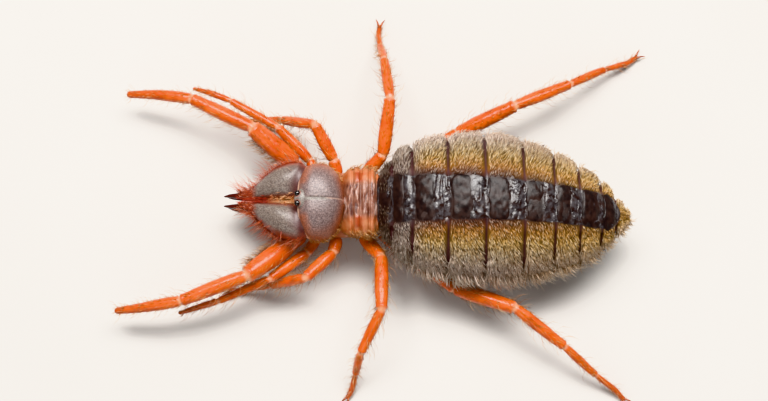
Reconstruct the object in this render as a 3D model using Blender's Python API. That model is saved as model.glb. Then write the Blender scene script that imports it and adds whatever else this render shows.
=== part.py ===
"""Camel spider, life size, standing still on its walking legs.

The head points along -X, the tail along +X, and Z is up. Sizes are in
millimetres until make_node() turns them into metres. The body is built along
its own middle line, each limb from its root outward, one piece per segment.
"""

import math
import random

import bmesh
import bpy
from mathutils import Matrix, Vector

MM = 0.001
GAP = 0.3

# Head shield: an oval plate seen from above, a low dome seen from the side
SHIELD_CENTRE_X = -7.05
SHIELD_HALF_LENGTH = 2.75
SHIELD_HALF_WIDTH = 4.5
SHIELD_BOTTOM = 5.3
SHIELD_TOP = 10.0
SHIELD_SIDES = 28
SHIELD_FORWARD_LIFT = 0.35
SHIELD_GROOVE = 0.14
SHIELD_LEVELS = (
    # share of the height, share of the outline
    (0.0, 0.84),
    (0.10, 0.93),
    (0.26, 1.0),
    (0.46, 0.985),
    (0.66, 0.92),
    (0.82, 0.78),
    (0.93, 0.55),
    (0.985, 0.28),
)
SLANT_GAP_SHARE = 1.4
HOLLOW_FACE_SHARES = (0.8, 0.55, 0.28)

# Eyes, sunk in two cups of a low knob at the front of the shield
EYE_RADIUS = 0.34
EYE_GAP = 0.15
EYE_PLACE = Vector((-9.5, 0.54, 9.52))
KNOB_CENTRE = Vector((-8.98, 0.0, 9.2))
KNOB_RADII = Vector((0.95, 1.15, 0.6))

# Pincers: a bulb that narrows to the fixed finger. The first stations follow the
# shield's outline, at these distances ahead of it
PINCER_SIDES = 16
PINCER_STATIONS = (
    # x, inner y, outer y, top z, bottom z
    (-8.6, 0.20, 4.30, 8.9, 5.3),
    (-9.6, 0.15, 4.65, 9.0, 5.0),
    (-11.7, 0.15, 4.15, 8.6, 4.5),
    (-13.0, 0.15, 3.15, 7.9, 4.3),
    (-14.0, 0.18, 2.10, 7.1, 4.7),
    (-14.9, 0.22, 1.35, 6.4, 5.0),
    (-16.1, 0.30, 0.95, 5.8, 4.9),
    (-17.2, 0.38, 0.82, 5.2, 4.7),
)
PINCER_WRAP = (0.0, 0.9)
PINCER_TIP = Vector((-18.0, 0.50, 4.45))
FINGER_STATIONS = (
    # x, inner y, outer y, top z, bottom z
    (-13.5, 0.45, 1.65, 3.65, 2.60),
    (-14.4, 0.35, 1.45, 3.90, 2.95),
    (-15.6, 0.35, 1.10, 4.00, 3.20),
    (-16.8, 0.38, 0.90, 4.00, 3.45),
)
FINGER_REAR = Vector((-13.0, 1.05, 3.1))
FINGER_TIP = Vector((-17.5, 0.58, 3.95))
TOOTH_WIDTH_SHARE = 0.72
TOOTH_ROOT_DEPTH = 0.35
TOOTH_TIP_RADIUS = 0.04
PINCER_ROUNDNESS = 2.2
FIXED_TEETH = ((-14.95, 0.42), (-15.8, 0.36), (-16.6, 0.28))
MOVABLE_TEETH = ((-14.7, 0.30), (-15.5, 0.24))

# Both pincers turn a little towards the animal's right: sideways shift for each
# millimetre ahead of this place
PINCER_TURN = 0.06
PINCER_TURN_START = -9.6

# Plate of hips under the head, and the three waist rings behind the shield
HIP_PLATE_STATIONS = (
    # x, half width, top z, bottom z
    (-9.3, 1.2, 4.2, 3.2),
    (-8.5, 2.0, 4.7, 2.8),
    (-6.5, 2.45, 4.9, 2.6),
    (-4.2, 2.6, 4.9, 2.6),
    (-2.4, 2.3, 4.9, 2.7),
    (-1.3, 1.4, 4.6, 3.0),
)
HIP_PLATE_ENDS = (-9.6, -1.1)
HIP_PLATE_MIDDLE_Z = 3.8
HIP_PLATE_SIDES = 16
HIP_PLATE_ROUNDNESS = 2.6
WAIST_REAR_X = -1.0
WAIST_HALF_WIDTH = 3.9
WAIST_BOTTOM = 5.3
WAIST_TOP = 9.3
WAIST_RINGS = 3
WAIST_GROOVE = 0.3
WAIST_SAG = 0.3
WAIST_SIDES = 22
WAIST_ROUNDNESS = 2.5

# Abdomen: its outline, the joints of its ten rings and the dark plates on its back
ABDOMEN_STATIONS = (
    # x, half width, top z, bottom z, middle y
    (-0.6, 3.3, 8.8, 5.4, 0.0),
    (0.6, 5.0, 9.8, 4.7, -0.1),
    (1.8, 6.3, 10.7, 3.9, -0.2),
    (5.0, 7.6, 12.0, 1.9, -0.3),
    (10.0, 8.3, 12.6, 0.6, -0.4),
    (15.0, 7.9, 12.3, 0.7, -0.65),
    (19.6, 6.5, 11.0, 1.5, -0.95),
    (23.0, 4.9, 9.4, 2.7, -1.25),
    (25.2, 3.3, 8.0, 3.8, -1.4),
    (26.8, 1.4, 6.9, 4.9, -1.5),
)
ABDOMEN_TIP = Vector((27.2, -1.5, 5.9))
ABDOMEN_JOINTS = (-0.6, 0.9, 3.1, 7.0, 11.1, 15.3, 18.7, 21.5, 24.0, 25.7, 26.8)
ABDOMEN_JOINT_DEPTH = 0.35
WIDEST_SHARE = 0.56
BACK_ROUNDNESS = 2.1
BELLY_ROUNDNESS = 1.65
PLATE_HALF_WIDTH_FRONT = 2.65
PLATE_HALF_WIDTH_REAR = 1.9
PLATE_RAISE = 0.22
PLATE_EDGE_STEP = 0.035
FLANK_STEPS = 9
ABDOMEN_RING_SHAPE = (
    # share of the ring's length, depth below the outline, whether the plate is raised there
    (0.0, ABDOMEN_JOINT_DEPTH, False),
    (0.16, 0.0, True),
    (0.52, -0.05, True),
    (0.88, 0.0, True),
)

# Bristly coat of the abdomen: a core below the outline, and flat locks out to the outline
CORE_INSET = 0.5
CORE_RAMP = 0.35
COAT_SEED = 12
ROW_SHARES_LONG = (0.24, 0.70)
ROW_SHARES_SHORT = (0.36,)
LONG_RING = 3.3
LOCK_SPACING = 1.75
LOCK_START_SHARE = 0.8
LOCK_SCATTER = 0.15
LOCK_LENGTH = 3.4
LOCK_WIDTH = 1.5
LOCK_THICKNESS = 0.5
LOCK_SHAPE = (
    # share of the length, height above the core, share of the width
    (0.0, -0.40, 0.80),
    (0.30, 0.20, 1.00),
    (0.68, 0.46, 0.78),
)
LOCK_TIP_HEIGHT = 0.85
LOCK_LEAN_DEGREES = 30
COAT_END_ANGLE = math.radians(122)
COAT_END_ANGLE_AT_LEGS = math.radians(84)
LEGS_END_X = 9.0
COAT_LAST_X = 27.4

# Limbs. A heading is the angle from +X towards the limb's own side, one for each
# length; a height is the height of the joint at the end of that length.
SEGMENTS = ("coxa", "femur", "tibia", "metatarsus", "tarsus")
LIMBS = {
    "pedipalp": {
        "root": (-9.0, 3.1, 3.9),
        "lengths": (2.1, 6.4, 7.8, 4.2, 3.7),
        "heights": (4.4, 6.6, 5.5, 4.4, 3.4),
        "radii": (0.85, 1.16, 0.82, 0.70, 0.52),
        "right": (120, 142, 153, 170, 176),
        "left": (140, 141, 160, 172, 175),
        "walks": False,
    },
    "leg_1": {
        "root": (-7.4, 3.4, 3.8),
        "lengths": (2.2, 5.2, 6.2, 2.4, 2.5),
        "heights": (3.75, 4.65, 4.3, 3.8, 3.0),
        "radii": (0.62, 0.66, 0.50, 0.40, 0.32),
        "right": (116, 135, 150, 156, 161),
        "left": (122, 144, 157, 165, 165),
        "walks": False,
    },
    "leg_2": {
        "root": (-5.2, 3.5, 3.8),
        "lengths": (2.0, 4.6, 5.6, 2.8, 2.4),
        "heights": (4.5, 6.0, 2.1, 1.2, 0.07),
        "radii": (0.75, 0.74, 0.60, 0.42, 0.32),
        "right": (104, 118, 163, 177, 181),
        "left": (104, 134, 178, 175, 170),
        "walks": True,
    },
    "leg_3": {
        "root": (-2.4, 3.4, 3.8),
        "lengths": (3.6, 6.5, 5.6, 3.5, 3.3),
        "heights": (5.3, 7.2, 4.8, 2.0, 0.05),
        "radii": (0.80, 0.80, 0.62, 0.45, 0.32),
        "right": (44, 83, 98, 102, 98),
        "left": (48, 90, 118, 106, 104),
        "walks": True,
    },
    "leg_4": {
        "root": (-0.4, 2.9, 3.5),
        "lengths": (10.4, 7.4, 7.1, 4.8, 4.9),
        "heights": (3.2, 5.4, 3.8, 2.0, 0.10),
        "radii": (0.85, 0.88, 0.68, 0.48, 0.34),
        "right": (33, 23, 24, 28, 20),
        "left": (37, 20, 37, 40, 35),
        "walks": True,
    },
}
LIMB_SIDES = 10
FOOT_SIDES = 8
CAP_DEPTH_SHARE = 0.5
CAP_RING_DEGREES = 48
END_RADIUS_SHARE = 0.80
SEGMENT_SHAPE = (
    # share of the length, share of the radius
    (0.0, END_RADIUS_SHARE),
    (0.25, 0.97),
    (0.6, 1.0),
    (1.0, END_RADIUS_SHARE),
)
TIP_RADIUS_SHARE = 0.72
CLAW_LENGTH = 1.1
CLAW_RADIUS = 0.25
CLAW_TURNS = (27, -21)
CLAW_RISES = (0.27, 0.31)
CLAW_ROOT_LIFT = 0.10
CLAW_TIP_LIFT = -0.10
RACQUET_SHARES = (0.16, 0.28, 0.40, 0.52, 0.64)
RACQUET_ROOT_SHARE = 0.45
RACQUET_WIDTH = 1.5
RACQUET_DROP = 1.9
RACQUET_THICKNESS = 0.5
RACQUET_SHAPE = (
    # share of the drop, share of the width
    (0.0, 0.36),
    (0.45, 0.36),
    (0.72, 0.80),
    (1.0, 1.0),
)
RACQUET_END_SHARE = 1.12

COLOURS = {
    "amber_cuticle": ((0.66, 0.17, 0.03), 0.35),
    "rosy_cuticle": ((0.38, 0.17, 0.12), 0.45),
    "shield_cuticle": ((0.34, 0.25, 0.24), 0.5),
    "dark_jaw": ((0.09, 0.02, 0.012), 0.25),
    "straw_coat": ((0.42, 0.28, 0.13), 0.7),
    "eye_gloss": ((0.01, 0.01, 0.01), 0.05),
}


def clear_scene():
    for item in list(bpy.data.objects):
        bpy.data.objects.remove(item, do_unlink=True)


def material(slot):
    """The Principled material of one finish, made once."""
    if slot in bpy.data.materials:
        return bpy.data.materials[slot]
    colour, roughness = COLOURS[slot]
    made = bpy.data.materials.new(slot)
    made.use_nodes = True
    shader = made.node_tree.nodes["Principled BSDF"]
    shader.inputs["Base Color"].default_value = (*colour, 1.0)
    shader.inputs["Roughness"].default_value = roughness
    shader.inputs["Metallic"].default_value = 0.0
    return made


def make_node(name, mesh, slot):
    """Put a closed bmesh into the scene as one named object, still in millimetres."""
    bmesh.ops.recalc_face_normals(mesh, faces=mesh.faces)
    data = bpy.data.meshes.new(name)
    mesh.to_mesh(data)
    mesh.free()
    data.shade_smooth()
    data.materials.append(material(slot))
    node = bpy.data.objects.new(name, data)
    bpy.context.scene.collection.objects.link(node)
    return node


def loft(rings, first_tip, last_tip):
    """One closed skin through rings of equal count, drawn to a point at each end."""
    mesh = bmesh.new()
    rows = [[mesh.verts.new(point) for point in ring] for ring in rings]
    count = len(rows[0])
    for row, following in zip(rows, rows[1:]):
        for i in range(count):
            j = (i + 1) % count
            mesh.faces.new((row[i], row[j], following[j], following[i]))
    for row, tip in ((rows[0], first_tip), (rows[-1], last_tip)):
        point = mesh.verts.new(tip)
        for i in range(count):
            mesh.faces.new((row[i], row[(i + 1) % count], point))
    return mesh


def smooth_value(stations, x, column):
    """The value of one column at x, on a smooth curve through the stations."""
    xs = [station[0] for station in stations]
    values = [station[column] for station in stations]
    last = len(xs) - 1
    i = max(0, min(last - 1, sum(1 for limit in xs[1:] if abs(limit - xs[0]) <= abs(x - xs[0]))))
    span = xs[i + 1] - xs[i]
    t = (x - xs[i]) / span

    def slope(k):
        low, high = max(0, k - 1), min(last, k + 1)
        return (values[high] - values[low]) / (xs[high] - xs[low])

    rise = values[i + 1] - values[i]
    start, end = slope(i) * span, slope(i + 1) * span
    return values[i] + t * start + t * t * (3 * rise - 2 * start - end) + t ** 3 * (start + end - 2 * rise)


def join(node, pieces, operation="UNION"):
    """Fuse closed pieces into the node, or cut them out of it, with one Boolean; then drop the pieces."""
    group = bpy.data.collections.new(node.name + "_pieces")
    bpy.context.scene.collection.children.link(group)
    for piece in pieces:
        bpy.context.scene.collection.objects.unlink(piece)
        group.objects.link(piece)
    fuse = node.modifiers.new("fuse", "BOOLEAN")
    fuse.operation = operation
    fuse.operand_type = "COLLECTION"
    fuse.collection = group
    fuse.solver = "EXACT"
    bpy.context.view_layer.update()
    fused = bpy.data.meshes.new_from_object(node.evaluated_get(bpy.context.evaluated_depsgraph_get()))
    node.modifiers.clear()
    node.data = fused
    for piece in pieces:
        bpy.data.objects.remove(piece, do_unlink=True)
    bpy.data.collections.remove(group)
    keep_largest(node)


def keep_largest(node):
    """Keep only the closed surface of the node that has the largest box."""
    mesh = bmesh.new()
    mesh.from_mesh(node.data)
    left = set(mesh.verts)
    bodies = []
    while left:
        body = {left.pop()}
        edge_of_body = list(body)
        while edge_of_body:
            vert = edge_of_body.pop()
            near = {edge.other_vert(vert) for edge in vert.link_edges} - body
            body |= near
            edge_of_body.extend(near)
        left -= body
        bodies.append(body)

    def box_volume(body):
        size = 1.0
        for axis in range(3):
            places = [vert.co[axis] for vert in body]
            size *= max(places) - min(places)
        return size

    largest = max(bodies, key=box_volume)
    loose = [vert for vert in mesh.verts if vert not in largest]
    bmesh.ops.delete(mesh, geom=loose, context="VERTS")
    mesh.to_mesh(node.data)
    mesh.free()


def oval(x, inner, outer, top, bottom, sides, roundness=2.0):
    """A ring across the body at x, between two sides and between top and bottom."""
    middle_y, middle_z = (inner + outer) / 2, (top + bottom) / 2
    half_width, half_height = (outer - inner) / 2, (top - bottom) / 2
    ring = []
    for i in range(sides):
        angle = 2 * math.pi * i / sides
        across, up = math.sin(angle), math.cos(angle)
        y = middle_y + half_width * math.copysign(abs(across) ** (2 / roundness), across)
        z = middle_z + half_height * math.copysign(abs(up) ** (2 / roundness), up)
        ring.append(Vector((x, y, z)))
    return ring


def beside_shield(y, way):
    """The x at y of a line round the shield's outline with the gap; way is -1 in front, 1 behind."""
    share = min(abs(y) / (SHIELD_HALF_WIDTH + GAP), 1.0)
    half_length = SHIELD_HALF_LENGTH + SLANT_GAP_SHARE * GAP
    return SHIELD_CENTRE_X + way * half_length * math.sqrt(1 - share * share)


def hollow_face(rim, way):
    """Rings and a point that close a rim against the shield's round outline, from the rim inward."""
    centre = sum(rim, Vector()) / len(rim)
    rings = []
    for share in HOLLOW_FACE_SHARES:
        ring = [centre.lerp(point, share) for point in rim]
        for point in ring:
            point.x = beside_shield(point.y, way)
        rings.append(ring)
    centre.x = beside_shield(centre.y, way)
    return rings, centre


def make_shield():
    """The domed head shield with its eye knob, as a stack of level ovals."""
    height = SHIELD_TOP - SHIELD_BOTTOM
    rings = []
    for share_up, share_out in SHIELD_LEVELS:
        ring = []
        for i in range(SHIELD_SIDES):
            angle = 2 * math.pi * i / SHIELD_SIDES
            x = SHIELD_CENTRE_X + SHIELD_HALF_LENGTH * share_out * math.cos(angle)
            y = SHIELD_HALF_WIDTH * share_out * math.sin(angle)
            forward = (SHIELD_CENTRE_X - x) / SHIELD_HALF_LENGTH
            z = SHIELD_BOTTOM + share_up * (height + SHIELD_FORWARD_LIFT * forward)
            if abs(y) < SHIELD_GROOVE and x > SHIELD_CENTRE_X:
                z -= SHIELD_GROOVE * share_up
            ring.append(Vector((x, y, z)))
        rings.append(ring)
    bottom = Vector((SHIELD_CENTRE_X, 0, SHIELD_BOTTOM))
    top = Vector((SHIELD_CENTRE_X, 0, SHIELD_TOP - SHIELD_GROOVE))
    shield = make_node("head_shield", loft(rings, bottom, top), "shield_cuticle")
    join(shield, [make_ball("knob", KNOB_CENTRE, KNOB_RADII, "shield_cuticle")])
    cup = EYE_RADIUS + EYE_GAP
    cups = []
    for side in (1, -1):
        cups.append(make_ball("cup", mirrored(EYE_PLACE, side), Vector((cup, cup, cup)), "shield_cuticle"))
    join(shield, cups, "DIFFERENCE")


def make_ball(name, centre, radii, slot):
    """A ball, or a ball stretched to three radii."""
    ball = bmesh.new()
    bmesh.ops.create_uvsphere(ball, u_segments=12, v_segments=8, radius=1.0)
    bmesh.ops.scale(ball, vec=radii, verts=ball.verts)
    bmesh.ops.translate(ball, vec=centre, verts=ball.verts)
    return make_node(name, ball, slot)


def mirrored(place, side):
    """The same place on the animal's right side, for side 1, or its left, for side -1."""
    return Vector((place.x, side * place.y, place.z))


def make_teeth(places, stations, edge_column, way, side):
    """Pointed teeth along the lower edge of a finger, way -1, or along its upper edge, way 1."""
    teeth = []
    for x, height in places:
        inner, outer, edge = (smooth_value(stations, x, column) for column in (1, 2, edge_column))
        radius = TOOTH_WIDTH_SHARE * (outer - inner) / 2
        depth = height + TOOTH_ROOT_DEPTH
        piece = bmesh.new()
        bmesh.ops.create_cone(
            piece, cap_ends=True, segments=5, radius1=radius, radius2=TOOTH_TIP_RADIUS, depth=depth
        )
        if way < 0:
            upside_down = Matrix.Rotation(math.pi, 3, "X")
            bmesh.ops.rotate(piece, cent=(0, 0, 0), matrix=upside_down, verts=piece.verts)
        middle_z = edge + way * (height - TOOTH_ROOT_DEPTH) / 2
        bmesh.ops.translate(piece, vec=(x, side * (inner + outer) / 2, middle_z), verts=piece.verts)
        teeth.append(make_node("tooth", piece, "dark_jaw"))
    return teeth


def turn_right(node):
    """Shift the front of a pincer or finger towards the animal's right."""
    for vertex in node.data.vertices:
        vertex.co.y += PINCER_TURN * max(0.0, PINCER_TURN_START - vertex.co.x)


def make_pincer(name, side):
    """The bulb of one pincer and its fixed upper finger, with teeth under the finger."""
    rings = []
    for k, (x, inner, outer, top, bottom) in enumerate(PINCER_STATIONS):
        ring = oval(x, inner, outer, top, bottom, PINCER_SIDES, PINCER_ROUNDNESS)
        for point in ring:
            if k < len(PINCER_WRAP):
                point.x = beside_shield(point.y, -1) - PINCER_WRAP[k]
            point.y *= side
        rings.append(ring)
    face, rear = hollow_face(rings[0], -1)
    pincer = make_node(name, loft(face[::-1] + rings, rear, mirrored(PINCER_TIP, side)), "rosy_cuticle")
    join(pincer, make_teeth(FIXED_TEETH, PINCER_STATIONS, 4, -1, side))
    turn_right(pincer)


def make_finger(name, side):
    """The movable lower finger of one pincer, with teeth on top."""
    rings = []
    for x, inner, outer, top, bottom in FINGER_STATIONS:
        ring = oval(x, inner, outer, top, bottom, FOOT_SIDES)
        for point in ring:
            point.y *= side
        rings.append(ring)
    rear, tip = mirrored(FINGER_REAR, side), mirrored(FINGER_TIP, side)
    finger = make_node(name, loft(rings, rear, tip), "dark_jaw")
    join(finger, make_teeth(MOVABLE_TEETH, FINGER_STATIONS, 3, 1, side))
    turn_right(finger)


def make_hip_plate():
    """The flat block that the hips of all limbs meet, under the head."""
    rings = []
    for x, half_width, top, bottom in HIP_PLATE_STATIONS:
        ring = oval(x, -half_width, half_width, top, bottom, HIP_PLATE_SIDES, HIP_PLATE_ROUNDNESS)
        rings.append(ring)
    front, rear = (Vector((x, 0, HIP_PLATE_MIDDLE_Z)) for x in HIP_PLATE_ENDS)
    make_node("hip_plate", loft(rings, front, rear), "rosy_cuticle")


def make_waist():
    """Three short rings between the head shield and the abdomen."""
    rings = []
    steps = 4 * WAIST_RINGS
    for k in range(steps + 1):
        share = k / steps
        groove = WAIST_GROOVE if k % 4 == 0 else 0.0
        half_width = WAIST_HALF_WIDTH - groove
        top = WAIST_TOP - groove - WAIST_SAG * math.sin(math.pi * share)
        ring = oval(0.0, -half_width, half_width, top, WAIST_BOTTOM, WAIST_SIDES, WAIST_ROUNDNESS)
        for point in ring:
            start = beside_shield(point.y, 1)
            point.x = start + share * (WAIST_REAR_X - start)
        rings.append(ring)
    face, front = hollow_face(rings[0], 1)
    rear = Vector((WAIST_REAR_X, 0, (WAIST_TOP + WAIST_BOTTOM) / 2))
    make_node("waist", loft(face[::-1] + rings, front, rear), "rosy_cuticle")


def abdomen_size(x):
    """Half width, top, bottom and middle y of the abdomen at x."""
    return [smooth_value(ABDOMEN_STATIONS, x, column) for column in (1, 2, 3, 4)]


def abdomen_point(x, angle, inset=0.0):
    """A point of the abdomen's surface; angle runs from 0 on the back to pi on the belly."""
    half_width, top, bottom, middle_y = abdomen_size(x)
    half_width -= inset
    middle_z = bottom + WIDEST_SHARE * (top - bottom)
    across, up = math.sin(angle), math.cos(angle)
    power = 2 / (BACK_ROUNDNESS if up >= 0 else BELLY_ROUNDNESS)
    reach = (top - inset - middle_z) if up >= 0 else (middle_z - bottom - inset)
    y = middle_y + half_width * math.copysign(abs(across) ** power, across)
    z = middle_z + reach * math.copysign(abs(up) ** power, up)
    return Vector((x, y, z))


def core_point(x, angle, height=0.0):
    """A point height above the coat's core, which is level with the plates and sinks beside them."""
    ramp = min(1.0, max(0.0, (abs(angle) - plate_angle(x)) / CORE_RAMP))
    return abdomen_point(x, angle, CORE_INSET * ramp - height)


def plate_angle(x):
    """The angle from the middle of the back to the edge of the dark plates at x."""
    first, last = ABDOMEN_JOINTS[0], ABDOMEN_JOINTS[-1]
    share = (x - first) / (last - first)
    half = PLATE_HALF_WIDTH_FRONT + share * (PLATE_HALF_WIDTH_REAR - PLATE_HALF_WIDTH_FRONT)
    half_width = abdomen_size(x)[0]
    return math.asin(min(0.9, half / half_width) ** (BACK_ROUNDNESS / 2))


def abdomen_angles(x):
    """Angles of one ring on the +Y side, closer together at the edge of the plates."""
    edge = plate_angle(x)
    start = edge + PLATE_EDGE_STEP
    flank = [start + (math.pi - start) * k / FLANK_STEPS for k in range(FLANK_STEPS + 1)]
    return [0.0, edge * 0.55, edge] + flank


def make_abdomen():
    """The abdomen: ten rings parted by grooves, each with a raised plate on the back."""
    rings = []
    for start, end in zip(ABDOMEN_JOINTS, ABDOMEN_JOINTS[1:]):
        for share, inset, raised in ABDOMEN_RING_SHAPE:
            x = start + share * (end - start)
            angles = abdomen_angles(x)
            ring = []
            for side in (1, -1):
                row = angles if side == 1 else reversed(angles[1:-1])
                for angle in row:
                    on_plate = raised and angle <= angles[2]
                    ring.append(core_point(x, side * angle, PLATE_RAISE * on_plate - inset))
            rings.append(ring)
    first = rings[0]
    front = sum(first, Vector()) / len(first)
    abdomen = make_node("abdomen", loft(rings, front, ABDOMEN_TIP), "straw_coat")
    join(abdomen, make_coat())


def make_coat():
    """Rows of locks over both flanks, each row on one ring of the abdomen and half over the next row."""
    draw = random.Random(COAT_SEED)
    locks = []
    for start, end in zip(ABDOMEN_JOINTS, ABDOMEN_JOINTS[1:]):
        shares = ROW_SHARES_LONG if end - start > LONG_RING else ROW_SHARES_SHORT
        for share in shares:
            x = start + share * (end - start)
            half_width, top, bottom, _ = abdomen_size(x)
            radius = (half_width + (top - bottom) / 2) / 2
            first = plate_angle(x) + LOCK_START_SHARE * LOCK_WIDTH / radius
            last = COAT_END_ANGLE if x > LEGS_END_X else COAT_END_ANGLE_AT_LEGS
            count = max(2, round((last - first) * radius / LOCK_SPACING))
            offset = 0.5 * (len(locks) % 2)
            for side in (1, -1):
                for k in range(count):
                    angle = first + (last - first) * (k + offset) / count
                    root_x = x + draw.uniform(-LOCK_SCATTER, LOCK_SCATTER)
                    locks.append(make_lock(root_x, angle, side, radius, draw))
    return locks


def make_lock(x, angle, side, radius, draw):
    """One flat, tapered lock: rooted in the core, bent back along the body, lifted at its tip."""
    length = min(LOCK_LENGTH * draw.uniform(0.9, 1.1), COAT_LAST_X - x)
    lean = math.radians(LOCK_LEAN_DEGREES + draw.uniform(-9, 9))
    width = LOCK_WIDTH * draw.uniform(0.9, 1.05) * min(1.0, 0.45 + radius / 8)
    lift = draw.uniform(0.85, 1.1)

    def place(share, height):
        turned = angle + length * share * math.sin(lean) / radius
        return core_point(x + length * share * math.cos(lean), side * turned, height)

    rings = []
    for share, height, width_share in LOCK_SHAPE:
        centre = place(share, height)
        along = place(share + 0.1, height) - centre
        outward = place(share, height + 0.5) - centre
        across = along.cross(outward).normalized() * width * width_share / 2
        outward = outward.normalized() * LOCK_THICKNESS / 2
        rings.append([centre + across, centre + outward, centre - across, centre - outward])
    root = place(0.0, LOCK_SHAPE[0][1] - 0.05)
    return make_node("lock", loft(rings, root, place(1.0, LOCK_TIP_HEIGHT * lift)), "straw_coat")


def limb_joints(limb, side):
    """The joints of one limb, from its root to its tip."""
    headings = limb["right" if side > 0 else "left"]
    joint = Vector(limb["root"])
    joint.y *= side
    joints = [joint]
    for length, height, heading in zip(limb["lengths"], limb["heights"], headings):
        rise = height - joint.z
        level = math.sqrt(length * length - rise * rise)
        angle = side * math.radians(heading)
        joint = joint + Vector((level * math.cos(angle), level * math.sin(angle), rise))
        joints.append(joint)
    return joints


def setback(radius, before, after):
    """How far a rounded end stays from its joint, to keep half the gap at the bend."""
    depth = CAP_DEPTH_SHARE * radius
    half_bend = before.angle(after) / 2
    reach = math.hypot(depth * math.cos(half_bend), radius * math.sin(half_bend))
    return (reach + GAP / 2) / math.cos(half_bend)


def limb_ring(centre, along, radius, sides):
    """A round ring at centre, square to the limb's direction."""
    across = along.cross(Vector((0, 0, 1))).normalized()
    up = across.cross(along).normalized()
    ring = []
    for i in range(sides):
        angle = 2 * math.pi * i / sides
        ring.append(centre + radius * (math.sin(angle) * across + math.cos(angle) * up))
    return ring


def rounded_end(centre, outward, radius, sides):
    """A ring and a point that round off one end."""
    depth = CAP_DEPTH_SHARE * radius
    angle = math.radians(CAP_RING_DEGREES)
    place = centre + outward * depth * math.sin(angle)
    return limb_ring(place, outward, radius * math.cos(angle), sides), centre + outward * depth


def limb_skin(points, radii, sides):
    """A closed skin along points with a radius at each, with both ends rounded."""
    rings = []
    for i, (point, radius) in enumerate(zip(points, radii)):
        along = points[min(i + 1, len(points) - 1)] - points[max(i - 1, 0)]
        rings.append(limb_ring(point, along.normalized(), radius, sides))
    last_ring, last_tip = rounded_end(points[-1], (points[-1] - points[-2]).normalized(), radii[-1], sides)
    turned_ring, first_tip = rounded_end(points[0], (points[0] - points[1]).normalized(), radii[0], sides)
    first_ring = turned_ring[:1] + turned_ring[:0:-1]
    return loft([first_ring] + rings + [last_ring], first_tip, last_tip)


def limb_segment(start, end, radius, sides):
    """Points and radii of one segment that swells a little before its middle."""
    along = end - start
    points = [start + share * along for share, _ in SEGMENT_SHAPE]
    radii = [radius * swell for _, swell in SEGMENT_SHAPE]
    return limb_skin(points, radii, sides)


def make_claw(tip, along, turn, rise):
    """One curved claw at the end of a foot, which arches up by rise and comes down again."""
    heading = math.atan2(along.y, along.x) + math.radians(turn)
    out = Vector((math.cos(heading), math.sin(heading), 0))
    shape = ((-0.25, CLAW_ROOT_LIFT, 0.8), (0.25, rise, 1.0), (0.65, rise, 0.62))
    points = [tip + out * CLAW_LENGTH * reach + Vector((0, 0, lift)) for reach, lift, _ in shape]
    rings = []
    for point, (_, _, thickness) in zip(points, shape):
        rings.append(limb_ring(point, out, CLAW_RADIUS * thickness, 5))
    point = tip + out * CLAW_LENGTH + Vector((0, 0, CLAW_TIP_LIFT))
    return make_node("claw", loft(rings, points[0] - out * 0.05, point), "amber_cuticle")


def make_racquet(place, along):
    """A flat racquet-shaped organ that hangs on a thin stalk, edge on to the walking direction."""
    across = along.cross(Vector((0, 0, 1))).normalized()
    rings = []
    for share, width in RACQUET_SHAPE:
        centre = place + Vector((0, 0, -RACQUET_DROP * share))
        side_step = across * RACQUET_WIDTH / 2 * width
        thick_step = along * RACQUET_THICKNESS / 2
        rings.append([centre + side_step, centre + thick_step, centre - side_step, centre - thick_step])
    end = place + Vector((0, 0, -RACQUET_DROP * RACQUET_END_SHARE))
    return make_node("racquet", loft(rings, place, end), "amber_cuticle")


def make_limb(name, limb, side):
    """All the pieces of one limb: coxa, femur, tibia and foot."""
    joints = limb_joints(limb, side)
    radii = limb["radii"]
    ways = [(end - start).normalized() for start, end in zip(joints, joints[1:])]
    for k in range(3):
        radius = radii[k]
        end_radius = radius * END_RADIUS_SHARE
        before = ways[k - 1] if k else ways[0]
        start = joints[k] + ways[k] * setback(end_radius, before, ways[k])
        end = joints[k + 1] - ways[k] * setback(end_radius, ways[k], ways[k + 1])
        skin = limb_segment(start, end, radius, LIMB_SIDES)
        piece = make_node(f"{name}_{SEGMENTS[k]}", skin, "amber_cuticle")
        if k == 0 and name.startswith("leg_4"):
            hang = Vector((0, 0, -radius * RACQUET_ROOT_SHARE))
            racquets = []
            for share in RACQUET_SHARES:
                racquets.append(make_racquet(start.lerp(end, share) + hang, ways[0]))
            join(piece, racquets)
    make_foot(name, limb, joints, ways)


def make_foot(name, limb, joints, ways):
    """Metatarsus and tarsus as one piece; a walking foot has a flat sole at z = 0 and two claws."""
    shank, toe = limb["radii"][3], limb["radii"][4]
    start = joints[3] + ways[3] * setback(shank * END_RADIUS_SHARE, ways[2], ways[3])
    tip_radius = toe * TIP_RADIUS_SHARE
    end = joints[5] - ways[4] * CAP_DEPTH_SHARE * tip_radius
    middle = joints[4]
    points = [start, start.lerp(middle, 0.35), start.lerp(middle, 0.8), middle, middle.lerp(end, 0.3), end]
    radii = [shank * END_RADIUS_SHARE, shank, shank * 0.85, toe * 0.9, toe, tip_radius]
    foot = make_node(f"{name}_foot", limb_skin(points, radii, FOOT_SIDES), "amber_cuticle")
    if limb["walks"]:
        claws = [make_claw(end, ways[4], turn, rise) for turn, rise in zip(CLAW_TURNS, CLAW_RISES)]
        join(foot, claws)
        cut_sole(foot)


def cut_sole(foot):
    """Cut off what is below the floor, which leaves a small flat sole at z = 0."""
    mesh = bmesh.new()
    mesh.from_mesh(foot.data)
    parts = mesh.verts[:] + mesh.edges[:] + mesh.faces[:]
    bmesh.ops.bisect_plane(mesh, geom=parts, plane_co=(0, 0, 0), plane_no=(0, 0, -1), clear_outer=True)
    rim = [edge for edge in mesh.edges if edge.is_boundary]
    bmesh.ops.holes_fill(mesh, edges=rim, sides=0)
    mesh.to_mesh(foot.data)
    mesh.free()


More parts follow.
